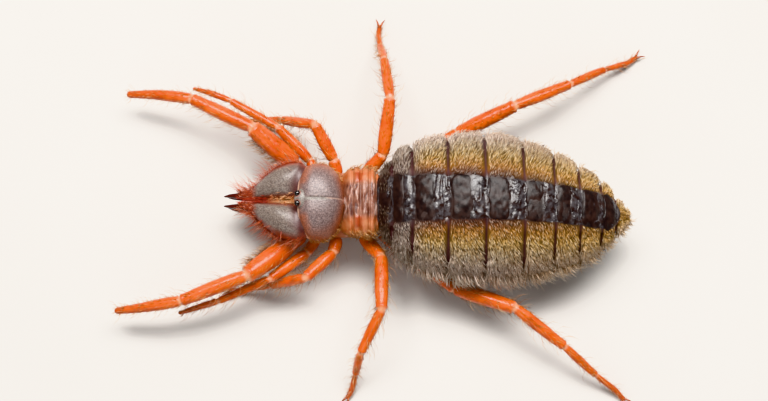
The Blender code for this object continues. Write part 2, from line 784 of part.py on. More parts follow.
def centre_model():
    """Centre the model's box over the origin, stand it on z = 0, and turn millimetres into metres."""
    corners = [vert.co for item in bpy.data.objects for vert in item.data.vertices]
    low = Vector([min(corner[axis] for corner in corners) for axis in range(3)])
    high = Vector([max(corner[axis] for corner in corners) for axis in range(3)])
    shift = Vector((-(low.x + high.x) / 2, -(low.y + high.y) / 2, -low.z))
    for item in bpy.data.objects:
        for vert in item.data.vertices:
            vert.co = (vert.co + shift) * MM
    print("model moved by", tuple(round(value, 3) for value in shift), "mm")


def main():
    clear_scene()
    make_shield()
    make_hip_plate()
    make_waist()
    make_abdomen()
    for side, word in ((1, "right"), (-1, "left")):
        eye_radii = Vector((EYE_RADIUS, EYE_RADIUS, EYE_RADIUS))
        make_ball(f"eye_{word}", mirrored(EYE_PLACE, side), eye_radii, "eye_gloss")
        make_pincer(f"pincer_{word}", side)
        make_finger(f"finger_{word}", side)
        for limb_name, limb in LIMBS.items():
            make_limb(f"{limb_name}_{word}", limb, side)
    centre_model()


main()
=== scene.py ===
# %% [markdown]
# This lesson dresses a life-size camel spider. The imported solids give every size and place;
# each visible surface is built again here as a finer mesh, and gets a material made of nodes.
# All shapes are worked out in millimetres in the body's own frame, where x runs from the head
# (negative) to the tail, y to the animal's right, and z up from the floor.

# %% Frame
import itertools
import math

import bpy
import numpy as np
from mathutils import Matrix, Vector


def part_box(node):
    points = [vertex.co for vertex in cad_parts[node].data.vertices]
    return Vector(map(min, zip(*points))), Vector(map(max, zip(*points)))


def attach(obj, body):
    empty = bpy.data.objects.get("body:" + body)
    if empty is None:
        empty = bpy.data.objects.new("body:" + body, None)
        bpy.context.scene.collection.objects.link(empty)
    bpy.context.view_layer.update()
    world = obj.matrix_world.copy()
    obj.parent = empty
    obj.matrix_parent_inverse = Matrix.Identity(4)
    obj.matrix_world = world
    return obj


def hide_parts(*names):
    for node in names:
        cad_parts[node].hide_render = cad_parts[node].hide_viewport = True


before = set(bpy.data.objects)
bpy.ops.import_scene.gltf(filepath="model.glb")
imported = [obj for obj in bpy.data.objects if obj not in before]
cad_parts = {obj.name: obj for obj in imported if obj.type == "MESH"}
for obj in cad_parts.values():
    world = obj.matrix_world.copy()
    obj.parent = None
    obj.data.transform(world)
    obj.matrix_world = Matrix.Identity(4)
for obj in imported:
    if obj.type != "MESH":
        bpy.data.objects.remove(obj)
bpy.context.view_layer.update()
MM = 0.001
SIDES = (("right", 1), ("left", -1))  # the animal's two sides, and the sign of y on each


# %% [markdown]
# The eyes sit at a known place in the body's own frame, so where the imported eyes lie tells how
# far the whole model was moved when it was centred on the floor. The move could be typed in as
# a number, but measured like this it stays right when the solids are packed again.

# %% Body frame
EYE_PLACE = np.array((-9.50, 0.54, 9.52))
EYE_RADIUS = 0.34
eye_boxes = [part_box(f"eye_{word}") for word, _ in SIDES]
eye_middle = sum((np.array(low) + np.array(high)) / 2 for low, high in eye_boxes) / 2 / MM
SHIFT = eye_middle - EYE_PLACE * (1, 0, 1)
SHIFT[2] = 0.0


def to_world(points):
    """Body-frame millimetres to the frame's metres."""
    return (np.asarray(points) + SHIFT) * MM


print("body frame moved by", SHIFT.round(3), "mm")

# %% [markdown]
# The photograph looks down on the back, tipped ten degrees so that a little more of the left
# flank shows. A long lens from a quarter of a metre keeps the legs' proportions, where a short
# one close by would swell the middle of the body.

# %% Camera
CAMERA_TILT = math.radians(10)
CAMERA_DISTANCE = 237.0
LOOK_AT = np.array((0.0, 0.30, 6.3))
LENS = 100
SENSOR_WIDTH = 36
NEAREST_SEEN = 10.0


def away(tilt, turn=0.0):
    """A direction that leans tilt from straight up towards +Y, and turn of it towards +X."""
    return np.array((math.sin(tilt) * math.sin(turn), math.sin(tilt) * math.cos(turn), math.cos(tilt)))


camera = bpy.data.objects.new("camera", bpy.data.cameras.new("camera"))
bpy.context.scene.collection.objects.link(camera)
camera.location = to_world(LOOK_AT + CAMERA_DISTANCE * away(-CAMERA_TILT))
camera.rotation_euler = (CAMERA_TILT, 0.0, 0.0)
camera.data.lens = LENS
camera.data.sensor_width = SENSOR_WIDTH
camera.data.clip_start = NEAREST_SEEN * MM
bpy.context.scene.camera = camera
print("camera at", tuple(round(v, 4) for v in camera.location))

# %% [markdown]
# One large soft lamp up and to the animal's right gives the long highlights on the legs and the
# glare along the upper half of the back plates. A weaker one fills the other side, and a dim room
# lifts the shadows. A picture of a room could light the model too, but with two lamps the
# highlights can be put where they belong.

# %% Lights
LAMPS = (
    # name, lean towards +Y, turn towards +X, distance, width and depth in mm, power in watts
    ("key_lamp", math.radians(25), math.radians(4), 330.0, 380.0, 125.0, 3.0),
    ("fill_lamp", math.radians(-55), math.radians(25), 380.0, 260.0, 260.0, 0.48),
)
LAMP_COLOUR = (1.0, 0.985, 0.965)
ROOM_COLOUR = (0.97, 0.985, 1.0, 1.0)
ROOM_STRENGTH = 0.19
bpy.context.scene.view_settings.view_transform = "Khronos PBR Neutral"
for name, lean, turn, distance, width, depth, power in LAMPS:
    lamp = bpy.data.objects.new(name, bpy.data.lights.new(name, "AREA"))
    bpy.context.scene.collection.objects.link(lamp)
    lamp.location = to_world(away(lean, turn) * distance)
    lamp.rotation_euler = (-lean, 0.0, 0.0)
    lamp.data.shape = "RECTANGLE"
    lamp.data.size = width * MM
    lamp.data.size_y = depth * MM
    lamp.data.energy = power
    lamp.data.color = LAMP_COLOUR
world = bpy.data.worlds.new("studio")
world.use_nodes = True
world.node_tree.nodes["Background"].inputs["Color"].default_value = ROOM_COLOUR
world.node_tree.nodes["Background"].inputs["Strength"].default_value = ROOM_STRENGTH
bpy.context.scene.world = world
print(len(LAMPS), "lamps")

# %% [markdown]
# Materials are node trees. One helper adds a node and links or sets its inputs, so each recipe
# below reads as a list of what goes into what. The same trees could be drawn by hand in the
# shader editor; written down, they come out the same each time.

# %% Node helpers
def put(tree, kind, values=(), **settings):
    """Add one node; a value that is a socket is linked, and any other value is set."""
    made = tree.nodes.new(kind)
    for key, value in settings.items():
        setattr(made, key, value)
    for key, value in dict(values).items():
        if isinstance(value, bpy.types.NodeSocket):
            tree.links.new(value, made.inputs[key])
        else:
            made.inputs[key].default_value = value
    return made


def mix(tree, amount, first, second, blend="MIX"):
    """The colour that goes from first to second by amount."""
    made = put(tree, "ShaderNodeMix", data_type="RGBA", blend_type=blend)
    for socket, value in ((made.inputs[0], amount), (made.inputs[6], first), (made.inputs[7], second)):
        if isinstance(value, bpy.types.NodeSocket):
            tree.links.new(value, socket)
        else:
            socket.default_value = value
    return made.outputs[2]


def number(tree, operation, *values):
    """The result of one Math node."""
    return put(tree, "ShaderNodeMath", dict(enumerate(values)), operation=operation).outputs[0]


def graded(tree, start, value, slope):
    """A start plus slope times a value."""
    return number(tree, "ADD", start, number(tree, "MULTIPLY", value, slope))


def remap(tree, value, low, high):
    """A value stretched so that low becomes 0 and high becomes 1."""
    stretched = put(tree, "ShaderNodeMapRange", {"Value": value, "From Min": low, "From Max": high})
    return stretched.outputs[0]


def ramp(tree, value, *stops):
    """A colour ramp through (place, colour) stops."""
    made = put(tree, "ShaderNodeValToRGB", {"Fac": value})
    for k, (place, colour) in enumerate(stops):
        stop = made.color_ramp.elements[k] if k < 2 else made.color_ramp.elements.new(place)
        stop.position = place
        stop.color = colour
    return made.outputs["Color"]


def field(tree, name):
    """A value that the mesh carries at each point."""
    return put(tree, "ShaderNodeAttribute", attribute_name=name).outputs["Fac"]


print("node helpers ready")

# %% [markdown]
# Every finish starts from one Principled shader. Values that never change are set on its own
# sockets, and what changes over the surface is linked to them. Textures are placed by the
# object's coordinates in millimetres, so a size in a recipe is a size on the animal.

# %% Finish helpers
def new_finish(name, rough, **sockets):
    """A new material with its Principled shader and its object coordinates in millimetres."""
    made = bpy.data.materials.new(name)
    made.use_nodes = True
    tree = made.node_tree
    shader = tree.nodes["Principled BSDF"]
    shader.inputs["Roughness"].default_value = rough
    for key, value in sockets.items():
        shader.inputs[key.replace("_", " ")].default_value = value
    place = put(tree, "ShaderNodeTexCoord").outputs["Object"]
    place = put(tree, "ShaderNodeVectorMath", {0: place, "Scale": 1 / MM}, operation="SCALE").outputs[0]
    return made, tree, shader, place


def feed(tree, shader, **values):
    """Link colours or values to the shader's sockets, each named with _ for a space."""
    for key, value in values.items():
        tree.links.new(value, shader.inputs[key.replace("_", " ")])


def bump(tree, shader, height, depth, strength=1.0):
    """Relief of a depth in millimetres on the shader's normal."""
    relief = put(tree, "ShaderNodeBump", {"Height": height, "Distance": depth * MM, "Strength": strength})
    feed(tree, shader, Normal=relief.outputs["Normal"])


def colour(*red_green_blue):
    """Red, green and blue with full cover."""
    return (*red_green_blue, 1.0)


print("finish helpers ready")

# %% [markdown]
# Three effects come back in many finishes: grain (fine relief of a cuticle), stipple (small dark
# points) and blotch (slow change of a value). Each could be copied into every material, but as a
# node group with named sockets it is built once, and each finish only gives it a size.

# %% Shared effects
def new_group(name, inputs, output, kind="Float", placed=True):
    """An empty node group: a Place if it is a texture, then float inputs, and one output."""
    tree = bpy.data.node_groups.new(name, "ShaderNodeTree")
    if placed:
        tree.interface.new_socket("Place", in_out="INPUT", socket_type="NodeSocketVector")
    for label, value in inputs:
        socket = tree.interface.new_socket(label, in_out="INPUT", socket_type="NodeSocketFloat")
        socket.default_value = value
    tree.interface.new_socket(output, in_out="OUTPUT", socket_type=f"NodeSocket{kind}")
    return tree, tree.nodes.new("NodeGroupInput").outputs, tree.nodes.new("NodeGroupOutput").inputs


def scale_of(tree, size):
    """A texture's scale for features of this size in millimetres."""
    return number(tree, "DIVIDE", 1.0, size)


GRAIN, given, result = new_group("grain", (("Size", 0.2), ("Roughness", 0.6)), "Height")
noise = put(GRAIN, "ShaderNodeTexNoise", {
    "Vector": given["Place"], "Scale": scale_of(GRAIN, given["Size"]),
    "Detail": 3.0, "Roughness": given["Roughness"],
})
GRAIN.links.new(noise.outputs["Fac"], result["Height"])

STIPPLE, given, result = new_group("stipple", (("Size", 0.2), ("Spread", 0.5)), "Mask")
cells = put(STIPPLE, "ShaderNodeTexVoronoi", {
    "Vector": given["Place"], "Scale": scale_of(STIPPLE, given["Size"]),
}).outputs["Distance"]
near = number(STIPPLE, "LESS_THAN", cells, given["Spread"])
soft = number(STIPPLE, "SUBTRACT", 1.0, number(STIPPLE, "DIVIDE", cells, given["Spread"]))
STIPPLE.links.new(number(STIPPLE, "MULTIPLY", near, soft), result["Mask"])

BLOTCH, given, result = new_group("blotch", (("Size", 1.0), ("Low", 0.35), ("High", 0.65)), "Mask")
noise = put(BLOTCH, "ShaderNodeTexNoise", {
    "Vector": given["Place"], "Scale": scale_of(BLOTCH, given["Size"]), "Detail": 2.0,
})
BLOTCH.links.new(remap(BLOTCH, noise.outputs["Fac"], given["Low"], given["High"]), result["Mask"])


def use(tree, group, place, **values):
    """Place a shared effect in a material with its own values, and return its output."""
    made = put(tree, "ShaderNodeGroup", node_tree=group)
    tree.links.new(place, made.inputs["Place"])
    for key, value in values.items():
        made.inputs[key.capitalize()].default_value = value
    return made.outputs[0]


print("shared effects:", [group.name for group in (GRAIN, STIPPLE, BLOTCH)])

# %% [markdown]
# No real surface has one flat colour. The floor, eyes, jaws, claws and racquets each wander a
# little between two tones, and one function makes all of these simple finishes.

# %% Mottled finishes
def mottled(tree, place, size, dark, pale):
    """A colour that wanders between two tones, in patches of this size."""
    return mix(tree, use(tree, BLOTCH, place, size=size), colour(*dark), colour(*pale))


def mottled_finish(name, rough, patch, dark, pale, grain=None, depth=0.0, **sockets):
    """A material of one mottled colour, with fine relief where a grain size is given."""
    made, tree, shader, place = new_finish(name, rough, **sockets)
    feed(tree, shader, Base_Color=mottled(tree, place, patch, dark, pale))
    if grain is not None:
        bump(tree, shader, use(tree, GRAIN, place, size=grain), depth)
    return made


floor_finish = mottled_finish("pale_floor", 0.75, 30.0, (0.56, 0.54, 0.515), (0.60, 0.58, 0.555))
print("floor finish:", floor_finish.name)

# %% [markdown]
# The floor is a plain pale sheet that the animal stands on. It could be a curved studio sweep,
# but the camera looks down and sees no horizon, so one flat square is enough.

# %% Floor
FLOOR_HALF = 1.5
floor_mesh = bpy.data.meshes.new("floor")
floor_corners = [(x * FLOOR_HALF, y * FLOOR_HALF, 0.0) for x, y in ((-1, -1), (1, -1), (1, 1), (-1, 1))]
floor_mesh.from_pydata(floor_corners, [], [(0, 1, 2, 3)])
floor_mesh.materials.append(floor_finish)
floor = bpy.data.objects.new("floor", floor_mesh)
bpy.context.scene.collection.objects.link(floor)
print("floor:", 2 * FLOOR_HALF, "m square")

# %% [markdown]
# Shells are built with numpy. A loft takes rings of points; any columns after x, y and z are
# values that the material reads, so a shell carries its own markings. Sculpting by hand would
# give the same surfaces, but a formula can be corrected in one place and run again.

# %% Shell helpers
def outward(points, faces):
    """The faces turned so that a closed shell's normals point out."""
    a, b, c = (points[faces[:, k], :3] for k in range(3))
    volume = np.einsum("ij,ij->i", a, np.cross(b, c)).sum()
    return faces if volume > 0 else faces[:, ::-1]


def loft(rings):
    """A closed shell through rings of equal count, with a point in the middle of each end."""
    rings = np.asarray(rings, float)
    rows, count, columns = rings.shape
    points = np.concatenate([rings.reshape(-1, columns), rings[:1].mean(1), rings[-1:].mean(1)])
    row, column = np.meshgrid(np.arange(rows - 1), np.arange(count), indexing="ij")
    here = (row * count + column).ravel()
    beside = (row * count + (column + 1) % count).ravel()
    sides = np.concatenate([np.stack([here, beside, beside + count], 1),
                            np.stack([here, beside + count, here + count], 1)])
    around = np.arange(count)
    after = (around + 1) % count
    start = np.stack([after, around, np.full(count, rows * count)], 1)
    end_row = (rows - 1) * count
    end = np.stack([around + end_row, after + end_row, np.full(count, rows * count + 1)], 1)
    faces = np.concatenate([sides, start, end])
    return points, outward(points, faces)


def together(shells):
    """Several shells as one set of points and faces."""
    offsets = np.cumsum([0] + [len(points) for points, _ in shells])
    points = np.concatenate([points for points, _ in shells])
    faces = np.concatenate([faces + offset for (_, faces), offset in zip(shells, offsets)])
    return points, faces


def with_fields(rows, *values):
    """Rings with constant values added."""
    rows = np.asarray(rows)
    shape = rows.shape[:-1] + (len(values),)
    return np.concatenate([rows, np.broadcast_to(np.array(values, float), shape)], -1)


print("shell helpers ready")

# %% [markdown]
# Each shell becomes one object. It rides on the model's only body, takes its material, and hides
# the plain solids that it stands in for. Values beyond x, y and z go to the mesh as attributes,
# and the coats get a map for baking.

# %% Pieces
TOTALS = {}


def new_piece(name, shell, material, fields=(), hides=(), bake_map=None):
    """Turn a shell into an object that rides on the model, and count its triangles."""
    points, faces = shell
    mesh = bpy.data.meshes.new(name)
    mesh.vertices.add(len(points))
    mesh.vertices.foreach_set("co", to_world(points[:, :3]).astype(np.float32).ravel())
    mesh.loops.add(faces.size)
    mesh.loops.foreach_set("vertex_index", faces.astype(np.int32).ravel())
    mesh.polygons.add(len(faces))
    mesh.polygons.foreach_set("loop_start", np.arange(0, faces.size, 3, dtype=np.int32))
    mesh.polygons.foreach_set("use_smooth", np.ones(len(faces), bool))
    for k, label in enumerate(fields):
        data = mesh.attributes.new(label, "FLOAT", "POINT").data
        data.foreach_set("value", points[:, 3 + k].astype(np.float32))
    if bake_map is not None:
        layer = mesh.uv_layers.new(name="OFBake")
        layer.uv.foreach_set("vector", bake_map[faces.ravel()].astype(np.float32).ravel())
    mesh.update(calc_edges=True)
    mesh.materials.append(material)
    piece = bpy.data.objects.new(name, mesh)
    bpy.context.scene.collection.objects.link(piece)
    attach(piece, "root")
    if hides:
        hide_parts(*hides)
    TOTALS[name] = len(faces)
    print(f"{name}: {len(faces)} triangles")


print("piece helper ready")

# %% [markdown]
# Nothing on an animal is perfectly smooth. This gives smooth random lumps of a chosen size, for
# folds, dents and the scatter of hairs. A texture could only shade them; worked out here from one
# seeded lattice, they move the points of the mesh, and are the same in every run.

# %% Lumps
LATTICE = np.random.default_rng(7).uniform(-1, 1, (48, 48, 48))


def lumps(points, size):
    """Smooth values from -1 to 1 at points, in lumps about size across."""
    place = np.asarray(points)[..., :3] / size
    cell = np.floor(place).astype(int)
    part = place - cell
    part = part * part * (3 - 2 * part)
    total = np.zeros(place.shape[:-1])
    for corner in itertools.product((0, 1), repeat=3):
        weight = np.prod(np.where(corner, part, 1 - part), axis=-1)
        index = (cell + corner) % len(LATTICE)
        total += weight * LATTICE[index[..., 0], index[..., 1], index[..., 2]]
    return total


print("lattice:", LATTICE.shape)

# %% [markdown]
# The body's parts are drawn from tables of stations, a few measured widths and heights along x.
# A smooth curve runs through each column of a table, and a power turns a plain oval section into
# a squarer or a sharper one.

# %% Curves
def smooth(stations, x, column):
    """One column of a table at x, on a smooth curve through the table's rows."""
    table = np.array(sorted(stations))
    places, values = table[:, 0], table[:, column]
    order = np.arange(len(table))
    low, high = np.maximum(order - 1, 0), np.minimum(order + 1, len(table) - 1)
    slopes = (values[high] - values[low]) / (places[high] - places[low])
    i = np.clip(np.searchsorted(places, x, side="right") - 1, 0, len(table) - 2)
    span = places[i + 1] - places[i]
    t = (x - places[i]) / span
    rise = values[i + 1] - values[i]
    start, end = slopes[i] * span, slopes[i + 1] * span
    return values[i] + t * start + t * t * (3 * rise - 2 * start - end) + t ** 3 * (start + end - 2 * rise)


def section(stations, x):
    """Every column of a table at x."""
    return [smooth(stations, x, column) for column in range(1, len(stations[0]))]


def bent(value, power):
    """A sine or cosine with its size raised to a power, so that an oval turns squarer."""
    return np.sign(value) * np.abs(value) ** power


def step(value, low, high):
    """0 below low, 1 above high, and a smooth rise between them."""
    t = np.clip((value - low) / (high - low), 0, 1)
    return t * t * (3 - 2 * t)


def peak(distance, width):
    """A smooth bump: 1 at distance 0, close to 0 at twice the width."""
    return np.exp(-(np.asarray(distance) / width) ** 2)


def unit(vectors):
    """Vectors of length 1."""
    return vectors / np.maximum(np.linalg.norm(vectors, axis=-1, keepdims=True), 1e-9)


def on_surface(surface, u, v):
    """Points of a surface, with its outward normal and its two directions there."""
    nudge = 1e-3
    here = surface(u, v)
    along_u = unit(surface(u + nudge, v) - here)
    along_v = unit(surface(u, v + nudge) - here)
    return here, unit(np.cross(along_u, along_v)), along_u, along_v


print("halfway up a smooth step:", float(step(0.5, 0, 1)))

# %% [markdown]
# Every hair and bristle is a slender three-sided blade that leaves the skin at one angle and
# bends over towards its lie. Blender's own hair curves look as good, but a solid mesh can be
# exported and baked. All the blades of one coat are made at once, with the share of the length
# and a random draw as values for the material, and a small patch each on the bake map. A blade
# that would dip under the floor is left out.

# %% Hairs
BAKE_PATCH = 0.003
FLOOR_GAP = 0.02
ROOT_DEPTH = 0.04
MIDDLE_WIDTH = 0.8
BLADE_THICKNESS = 0.6
BLADE_ALONG = np.array((0, 0, 0, 0.5, 0.5, 0.5, 1.0))
BLADE_FACES = np.array(((0, 2, 1), (0, 1, 4), (0, 4, 3), (1, 2, 5), (1, 5, 4), (2, 0, 3), (2, 3, 5),
                        (3, 4, 6), (4, 5, 6), (5, 3, 6)))
BLADE_MAP = np.array(((0, 0), (1, 0), (0.5, 0.2), (0.1, 0.5), (0.9, 0.5), (0.5, 0.6), (0.5, 1)))
draw = np.random.default_rng(31)


def hairs(roots, out, lie, length, width, leave, reach, marks, bake_place):
    """Blades at roots: they leave the skin at one angle to it, and their tips lie at another."""
    count, corners_each = len(roots), len(BLADE_ALONG)
    lie = unit(lie - out * np.sum(lie * out, 1, keepdims=True))
    across = unit(np.cross(lie, out))
    length = np.broadcast_to(length, count)[:, None]
    width = np.broadcast_to(width, count)[:, None]

    def at(share, angle):
        angle = np.broadcast_to(angle, count)[:, None]
        return roots + share * length * (lie * np.cos(angle) + out * np.sin(angle))

    halfway = (np.asarray(leave) * 2 + reach) / 3
    rows = []
    for share, angle, thick in ((-ROOT_DEPTH, leave, 1.0), (0.5, halfway, MIDDLE_WIDTH)):
        middle = at(share, angle)
        side = across * width * thick / 2
        rows += [middle - side, middle + side, middle + out * width * thick * BLADE_THICKNESS]
    rows.append(at(1.0, reach))
    points = np.stack(rows, 1)
    clear = points[:, :, 2].min(1) > FLOOR_GAP
    points, bake_place, count = points[clear], bake_place[clear], int(clear.sum())
    values = [draw.random(count)] + [mark[clear] for mark in marks]
    extra = [np.broadcast_to(BLADE_ALONG, (count, corners_each))]
    extra += [np.repeat(value[:, None], corners_each, 1) for value in values]
    points = np.concatenate([points, np.stack(extra, -1)], -1).reshape(count * corners_each, -1)
    faces = (BLADE_FACES + corners_each * np.arange(count)[:, None, None]).reshape(-1, 3)
    bake = (bake_place[:, None] * (1 - BAKE_PATCH) + BLADE_MAP * BAKE_PATCH).reshape(-1, 2)
    return (points, faces), bake


def grown(roots, out, lie, angles, lengths, width, settle, bake_place):
    """Hairs that leave at random angles in degrees, with random lengths, and settle a little."""
    leave = np.radians(draw.uniform(*angles, len(roots)))
    length = draw.uniform(*lengths, len(roots))
    return hairs(roots, out, lie, length, width, leave, leave * settle, (), bake_place)


def new_hairs(name, batches, material):
    """One piece from several batches of hairs."""
    shell = together([blades for blades, _ in batches])
    bake = np.concatenate([patches for _, patches in batches])
    new_piece(name, shell, material, ("along", "draw"), bake_map=bake)


print("one blade:", len(BLADE_ALONG), "points,", len(BLADE_FACES), "triangles")

# %% [markdown]
# The abdomen is a soft bag of ten rings. It could be pushed and pulled out of a ball, but a table
# of stations is easier to set against the photograph, and the solid was built from the same one.
# Back and belly bend differently: the back is rounder, the belly comes closer to a keel.

# %% Abdomen shape
ABDOMEN_STATIONS = (
    # x, half width, top, bottom, middle y
    (-0.6, 3.3, 8.8, 5.4, 0.0), (0.6, 5.0, 9.8, 4.7, -0.1), (1.8, 6.3, 10.7, 3.9, -0.2),
    (5.0, 7.6, 12.0, 1.9, -0.3), (10.0, 8.3, 12.6, 0.6, -0.4), (15.0, 7.9, 12.3, 0.7, -0.65),
    (19.6, 6.5, 11.0, 1.5, -0.95), (23.0, 4.9, 9.4, 2.7, -1.25), (25.2, 3.3, 8.0, 3.8, -1.4),
    (26.8, 1.4, 6.9, 4.9, -1.5),
)
ABDOMEN_ENDS = (-0.9, 27.3)
RING_JOINTS = np.array((-0.6, 0.9, 3.1, 7.0, 11.1, 15.3, 18.7, 21.5, 24.0, 25.7, 26.8))
FRONT_CLOSING = 0.3
REAR_CLOSING = 0.5
WIDEST_SHARE = 0.56
BACK_ROUNDNESS = 2.1
BELLY_ROUNDNESS = 1.65


def inside(x):
    """x, kept between the first and the last joint of the rings."""
    return np.clip(x, *RING_JOINTS[[0, -1]])


def body_share(x):
    """The share of the way from the first joint to the last."""
    return (x - RING_JOINTS[0]) / (RING_JOINTS[-1] - RING_JOINTS[0])


def ring_place(x):
    """The ring that x lies in, the share of its length, and the distance to a joint's groove."""
    ring = np.clip(np.searchsorted(RING_JOINTS, x, side="right") - 1, 0, len(RING_JOINTS) - 2)
    start, end = RING_JOINTS[ring], RING_JOINTS[ring + 1]
    gap = np.min(np.abs(np.asarray(x)[..., None] - RING_JOINTS[:-1]), -1)
    return ring, np.clip((x - start) / (end - start), 0, 1), gap


def abdomen_outline(x, angle, height=0.0):
    """A point height above the abdomen's outline; angle 0 is the back, pi the belly."""
    half_width, top, bottom, middle_y = section(ABDOMEN_STATIONS, inside(x))
    past = np.maximum((RING_JOINTS[0] - x) / FRONT_CLOSING, (x - RING_JOINTS[-1]) / REAR_CLOSING)
    closing = np.sqrt(np.clip(1 - np.clip(past, 0, 1) ** 2, 0, 1))
    middle_z = bottom + WIDEST_SHARE * (top - bottom)
    above = np.cos(angle) >= 0
    power = np.where(above, 2 / BACK_ROUNDNESS, 2 / BELLY_ROUNDNESS)
    reach = np.where(above, top - middle_z, middle_z - bottom) + height
    y = middle_y + closing * (half_width + height) * bent(np.sin(angle), power)
    z = middle_z + closing * reach * bent(np.cos(angle), power)
    return np.stack(np.broadcast_arrays(x, y, z), -1)


print("abdomen rings:", len(RING_JOINTS) - 1, "joints at", RING_JOINTS.tolist())

# %% [markdown]
# A dark bare stripe runs along the back, and a bare groove lies between every two rings. Both
# could be painted on a smooth skin, but the coat around them has depth, so the skin beside the
# stripe lies lower by that depth and dips further in the grooves. The same functions tell the
# material what it paints, and the coat where it grows.

# %% Stripe and grooves
STRIPE_HALF_WIDTHS = (2.65, 1.9)
STRIPE_SCALLOP = 0.10
STRIPE_END = 26.1
STRIPE_TAPER = 1.4
STRIPE_LIMIT = 0.9
COAT_DEPTH = 0.5
COAT_RAMP = 0.35
GROOVE_DEPTH = 0.40
GROOVE_WIDTH = 0.30
JOINT_DENT = 0.12
RING_SWELL = 0.16
SKIN_LUMP_HEIGHT = 0.05
SKIN_LUMP_SIZE = 1.3


def stripe_angle(x):
    """The angle from the middle of the back to the edge of the dark stripe."""
    front, rear = STRIPE_HALF_WIDTHS
    half = front + np.clip(body_share(x), 0, 1) * (rear - front)
    half = half + STRIPE_SCALLOP * (np.sin(math.pi * ring_place(x)[1]) - 0.6)
    half = half * np.sqrt(np.clip((STRIPE_END - x) / STRIPE_TAPER, 0.0004, 1))
    half_width = smooth(ABDOMEN_STATIONS, inside(x), 1)
    return np.arcsin(np.minimum(STRIPE_LIMIT, half / half_width) ** (BACK_ROUNDNESS / 2))


def abdomen_skin_point(x, angle):
    """The skin: level with the stripe on the back, and the coat's depth lower beside it."""
    edge = stripe_angle(x)
    beside = step(np.abs(angle), edge, edge + COAT_RAMP)
    _, share, gap = ring_place(x)
    height = -COAT_DEPTH * beside
    height += RING_SWELL * np.sin(math.pi * share) * (0.3 + 0.7 * beside)
    height -= (GROOVE_DEPTH * beside + JOINT_DENT) * peak(gap, GROOVE_WIDTH)
    height += SKIN_LUMP_HEIGHT * lumps(abdomen_outline(x, angle), SKIN_LUMP_SIZE) * beside
    return abdomen_outline(x, angle, height)


def abdomen_marks(x, angle):
    """What the markings follow: round the body, the groove, along the body, and the stripe."""
    edge = stripe_angle(x)
    around = (np.abs(angle) - edge) / (math.pi - edge)
    groove = peak(ring_place(x)[2], GROOVE_WIDTH)
    stripe = (1 - step(np.abs(angle), edge * 0.96, edge * 1.05)) * (x < STRIPE_END)
    return np.clip(around, 0, 1), groove, body_share(x), stripe


print("stripe edge at x 10:", round(math.degrees(stripe_angle(10.0)), 1), "degrees from the middle")

# %% [markdown]
# Between the plates the stripe's bare membrane is gathered in fine crumpled folds that run across
# the body. Relief in the material would look flat from the side, so the folds are in the mesh,
# which has nearly half of its points on the stripe for them.

# %% Abdomen skin
STRIPE_STEPS = 64
FLANK_STEPS = 70
FOLD_STRETCH = (1.25, 0.50, 1)
WIDE_FOLD_DEPTH, WIDE_FOLD_SIZE = 0.24, 0.75
FINE_FOLD_DEPTH, FINE_FOLD_SIZE = 0.10, 0.36
MEMBRANE_REAR = (0.52, 0.66)
MEMBRANE_FRONT = (0.02, 0.10)


def stripe_folds(points):
    """Creases of two sizes across the gathered membrane."""
    warped = points * FOLD_STRETCH + 0.5 * lumps(points, 1.1)[:, None] * (0.6, 1, 0)
    wide = 0.10 - WIDE_FOLD_DEPTH * np.abs(lumps(warped, WIDE_FOLD_SIZE))
    return wide + 0.04 - FINE_FOLD_DEPTH * np.abs(lumps(warped + 20, FINE_FOLD_SIZE))


stripe = np.linspace(-1, 1, STRIPE_STEPS, endpoint=False)
flank = np.linspace(0, 1, FLANK_STEPS, endpoint=False)
FIRST_END, LAST_END = ABDOMEN_ENDS
lengthwise = np.concatenate([np.linspace(FIRST_END, 0, 8, endpoint=False),
                             np.linspace(0, RING_JOINTS[-1], 300),
                             np.linspace(RING_JOINTS[-1] + 0.05, LAST_END, 10)])
rings = []
for x in lengthwise:
    edge = float(stripe_angle(x))
    angle = np.concatenate([stripe * edge, edge + flank * (2 * math.pi - 2 * edge)])
    angle = np.where(angle > math.pi, angle - 2 * math.pi, angle)
    where = np.full_like(angle, x)
    points = abdomen_skin_point(where, angle)
    marks = abdomen_marks(where, angle)
    share = ring_place(where)[1]
    bare = np.maximum(step(share, *MEMBRANE_REAR), 1 - step(share, *MEMBRANE_FRONT)) * marks[3]
    points[:, 2] += bare * stripe_folds(points) + marks[3] * 0.05 * lumps(points, 0.8)
    rings.append(np.column_stack([points, *marks, bare]))
abdomen_shell = loft(rings)
print("abdomen skin:", len(abdomen_shell[1]), "triangles")

# %% [markdown]
# One group paints the abdomen's markings, and both the skin and the bristles on it use it, so
# that a gap in the coat never shows: rust beside the stripe, olive gold above, cream grey down
# the flank, warm and pale on the belly, dark brown in front, and bare purple black in the grooves.

# %% Abdomen markings
MARKINGS, given, result = new_group(
    "abdomen_markings", (("Around", 0.0), ("Groove", 0.0), ("Body", 0.0)), "Color", "Color", placed=False)
flank_tone = ramp(
    MARKINGS, given["Around"],
    (0.0, colour(0.085, 0.018, 0.008)), (0.025, colour(0.28, 0.085, 0.012)),
    (0.05, colour(0.58, 0.26, 0.030)), (0.12, colour(0.52, 0.33, 0.070)),
    (0.19, colour(0.42, 0.31, 0.18)), (0.30, colour(0.58, 0.45, 0.42)),
    (0.45, colour(0.64, 0.50, 0.41)), (0.75, colour(0.72, 0.46, 0.29)),
)
rear = number(MARKINGS, "MULTIPLY", remap(MARKINGS, given["Body"], 0.45, 0.85), 0.55)
rear_gold = mix(MARKINGS, rear, flank_tone, colour(0.68, 0.40, 0.07))
second = remap(MARKINGS, given["Body"], 0.12, 0.19)
grey_second = mix(MARKINGS, second, colour(0.27, 0.21, 0.19), rear_gold)
front = remap(MARKINGS, given["Body"], 0.05, 0.085)
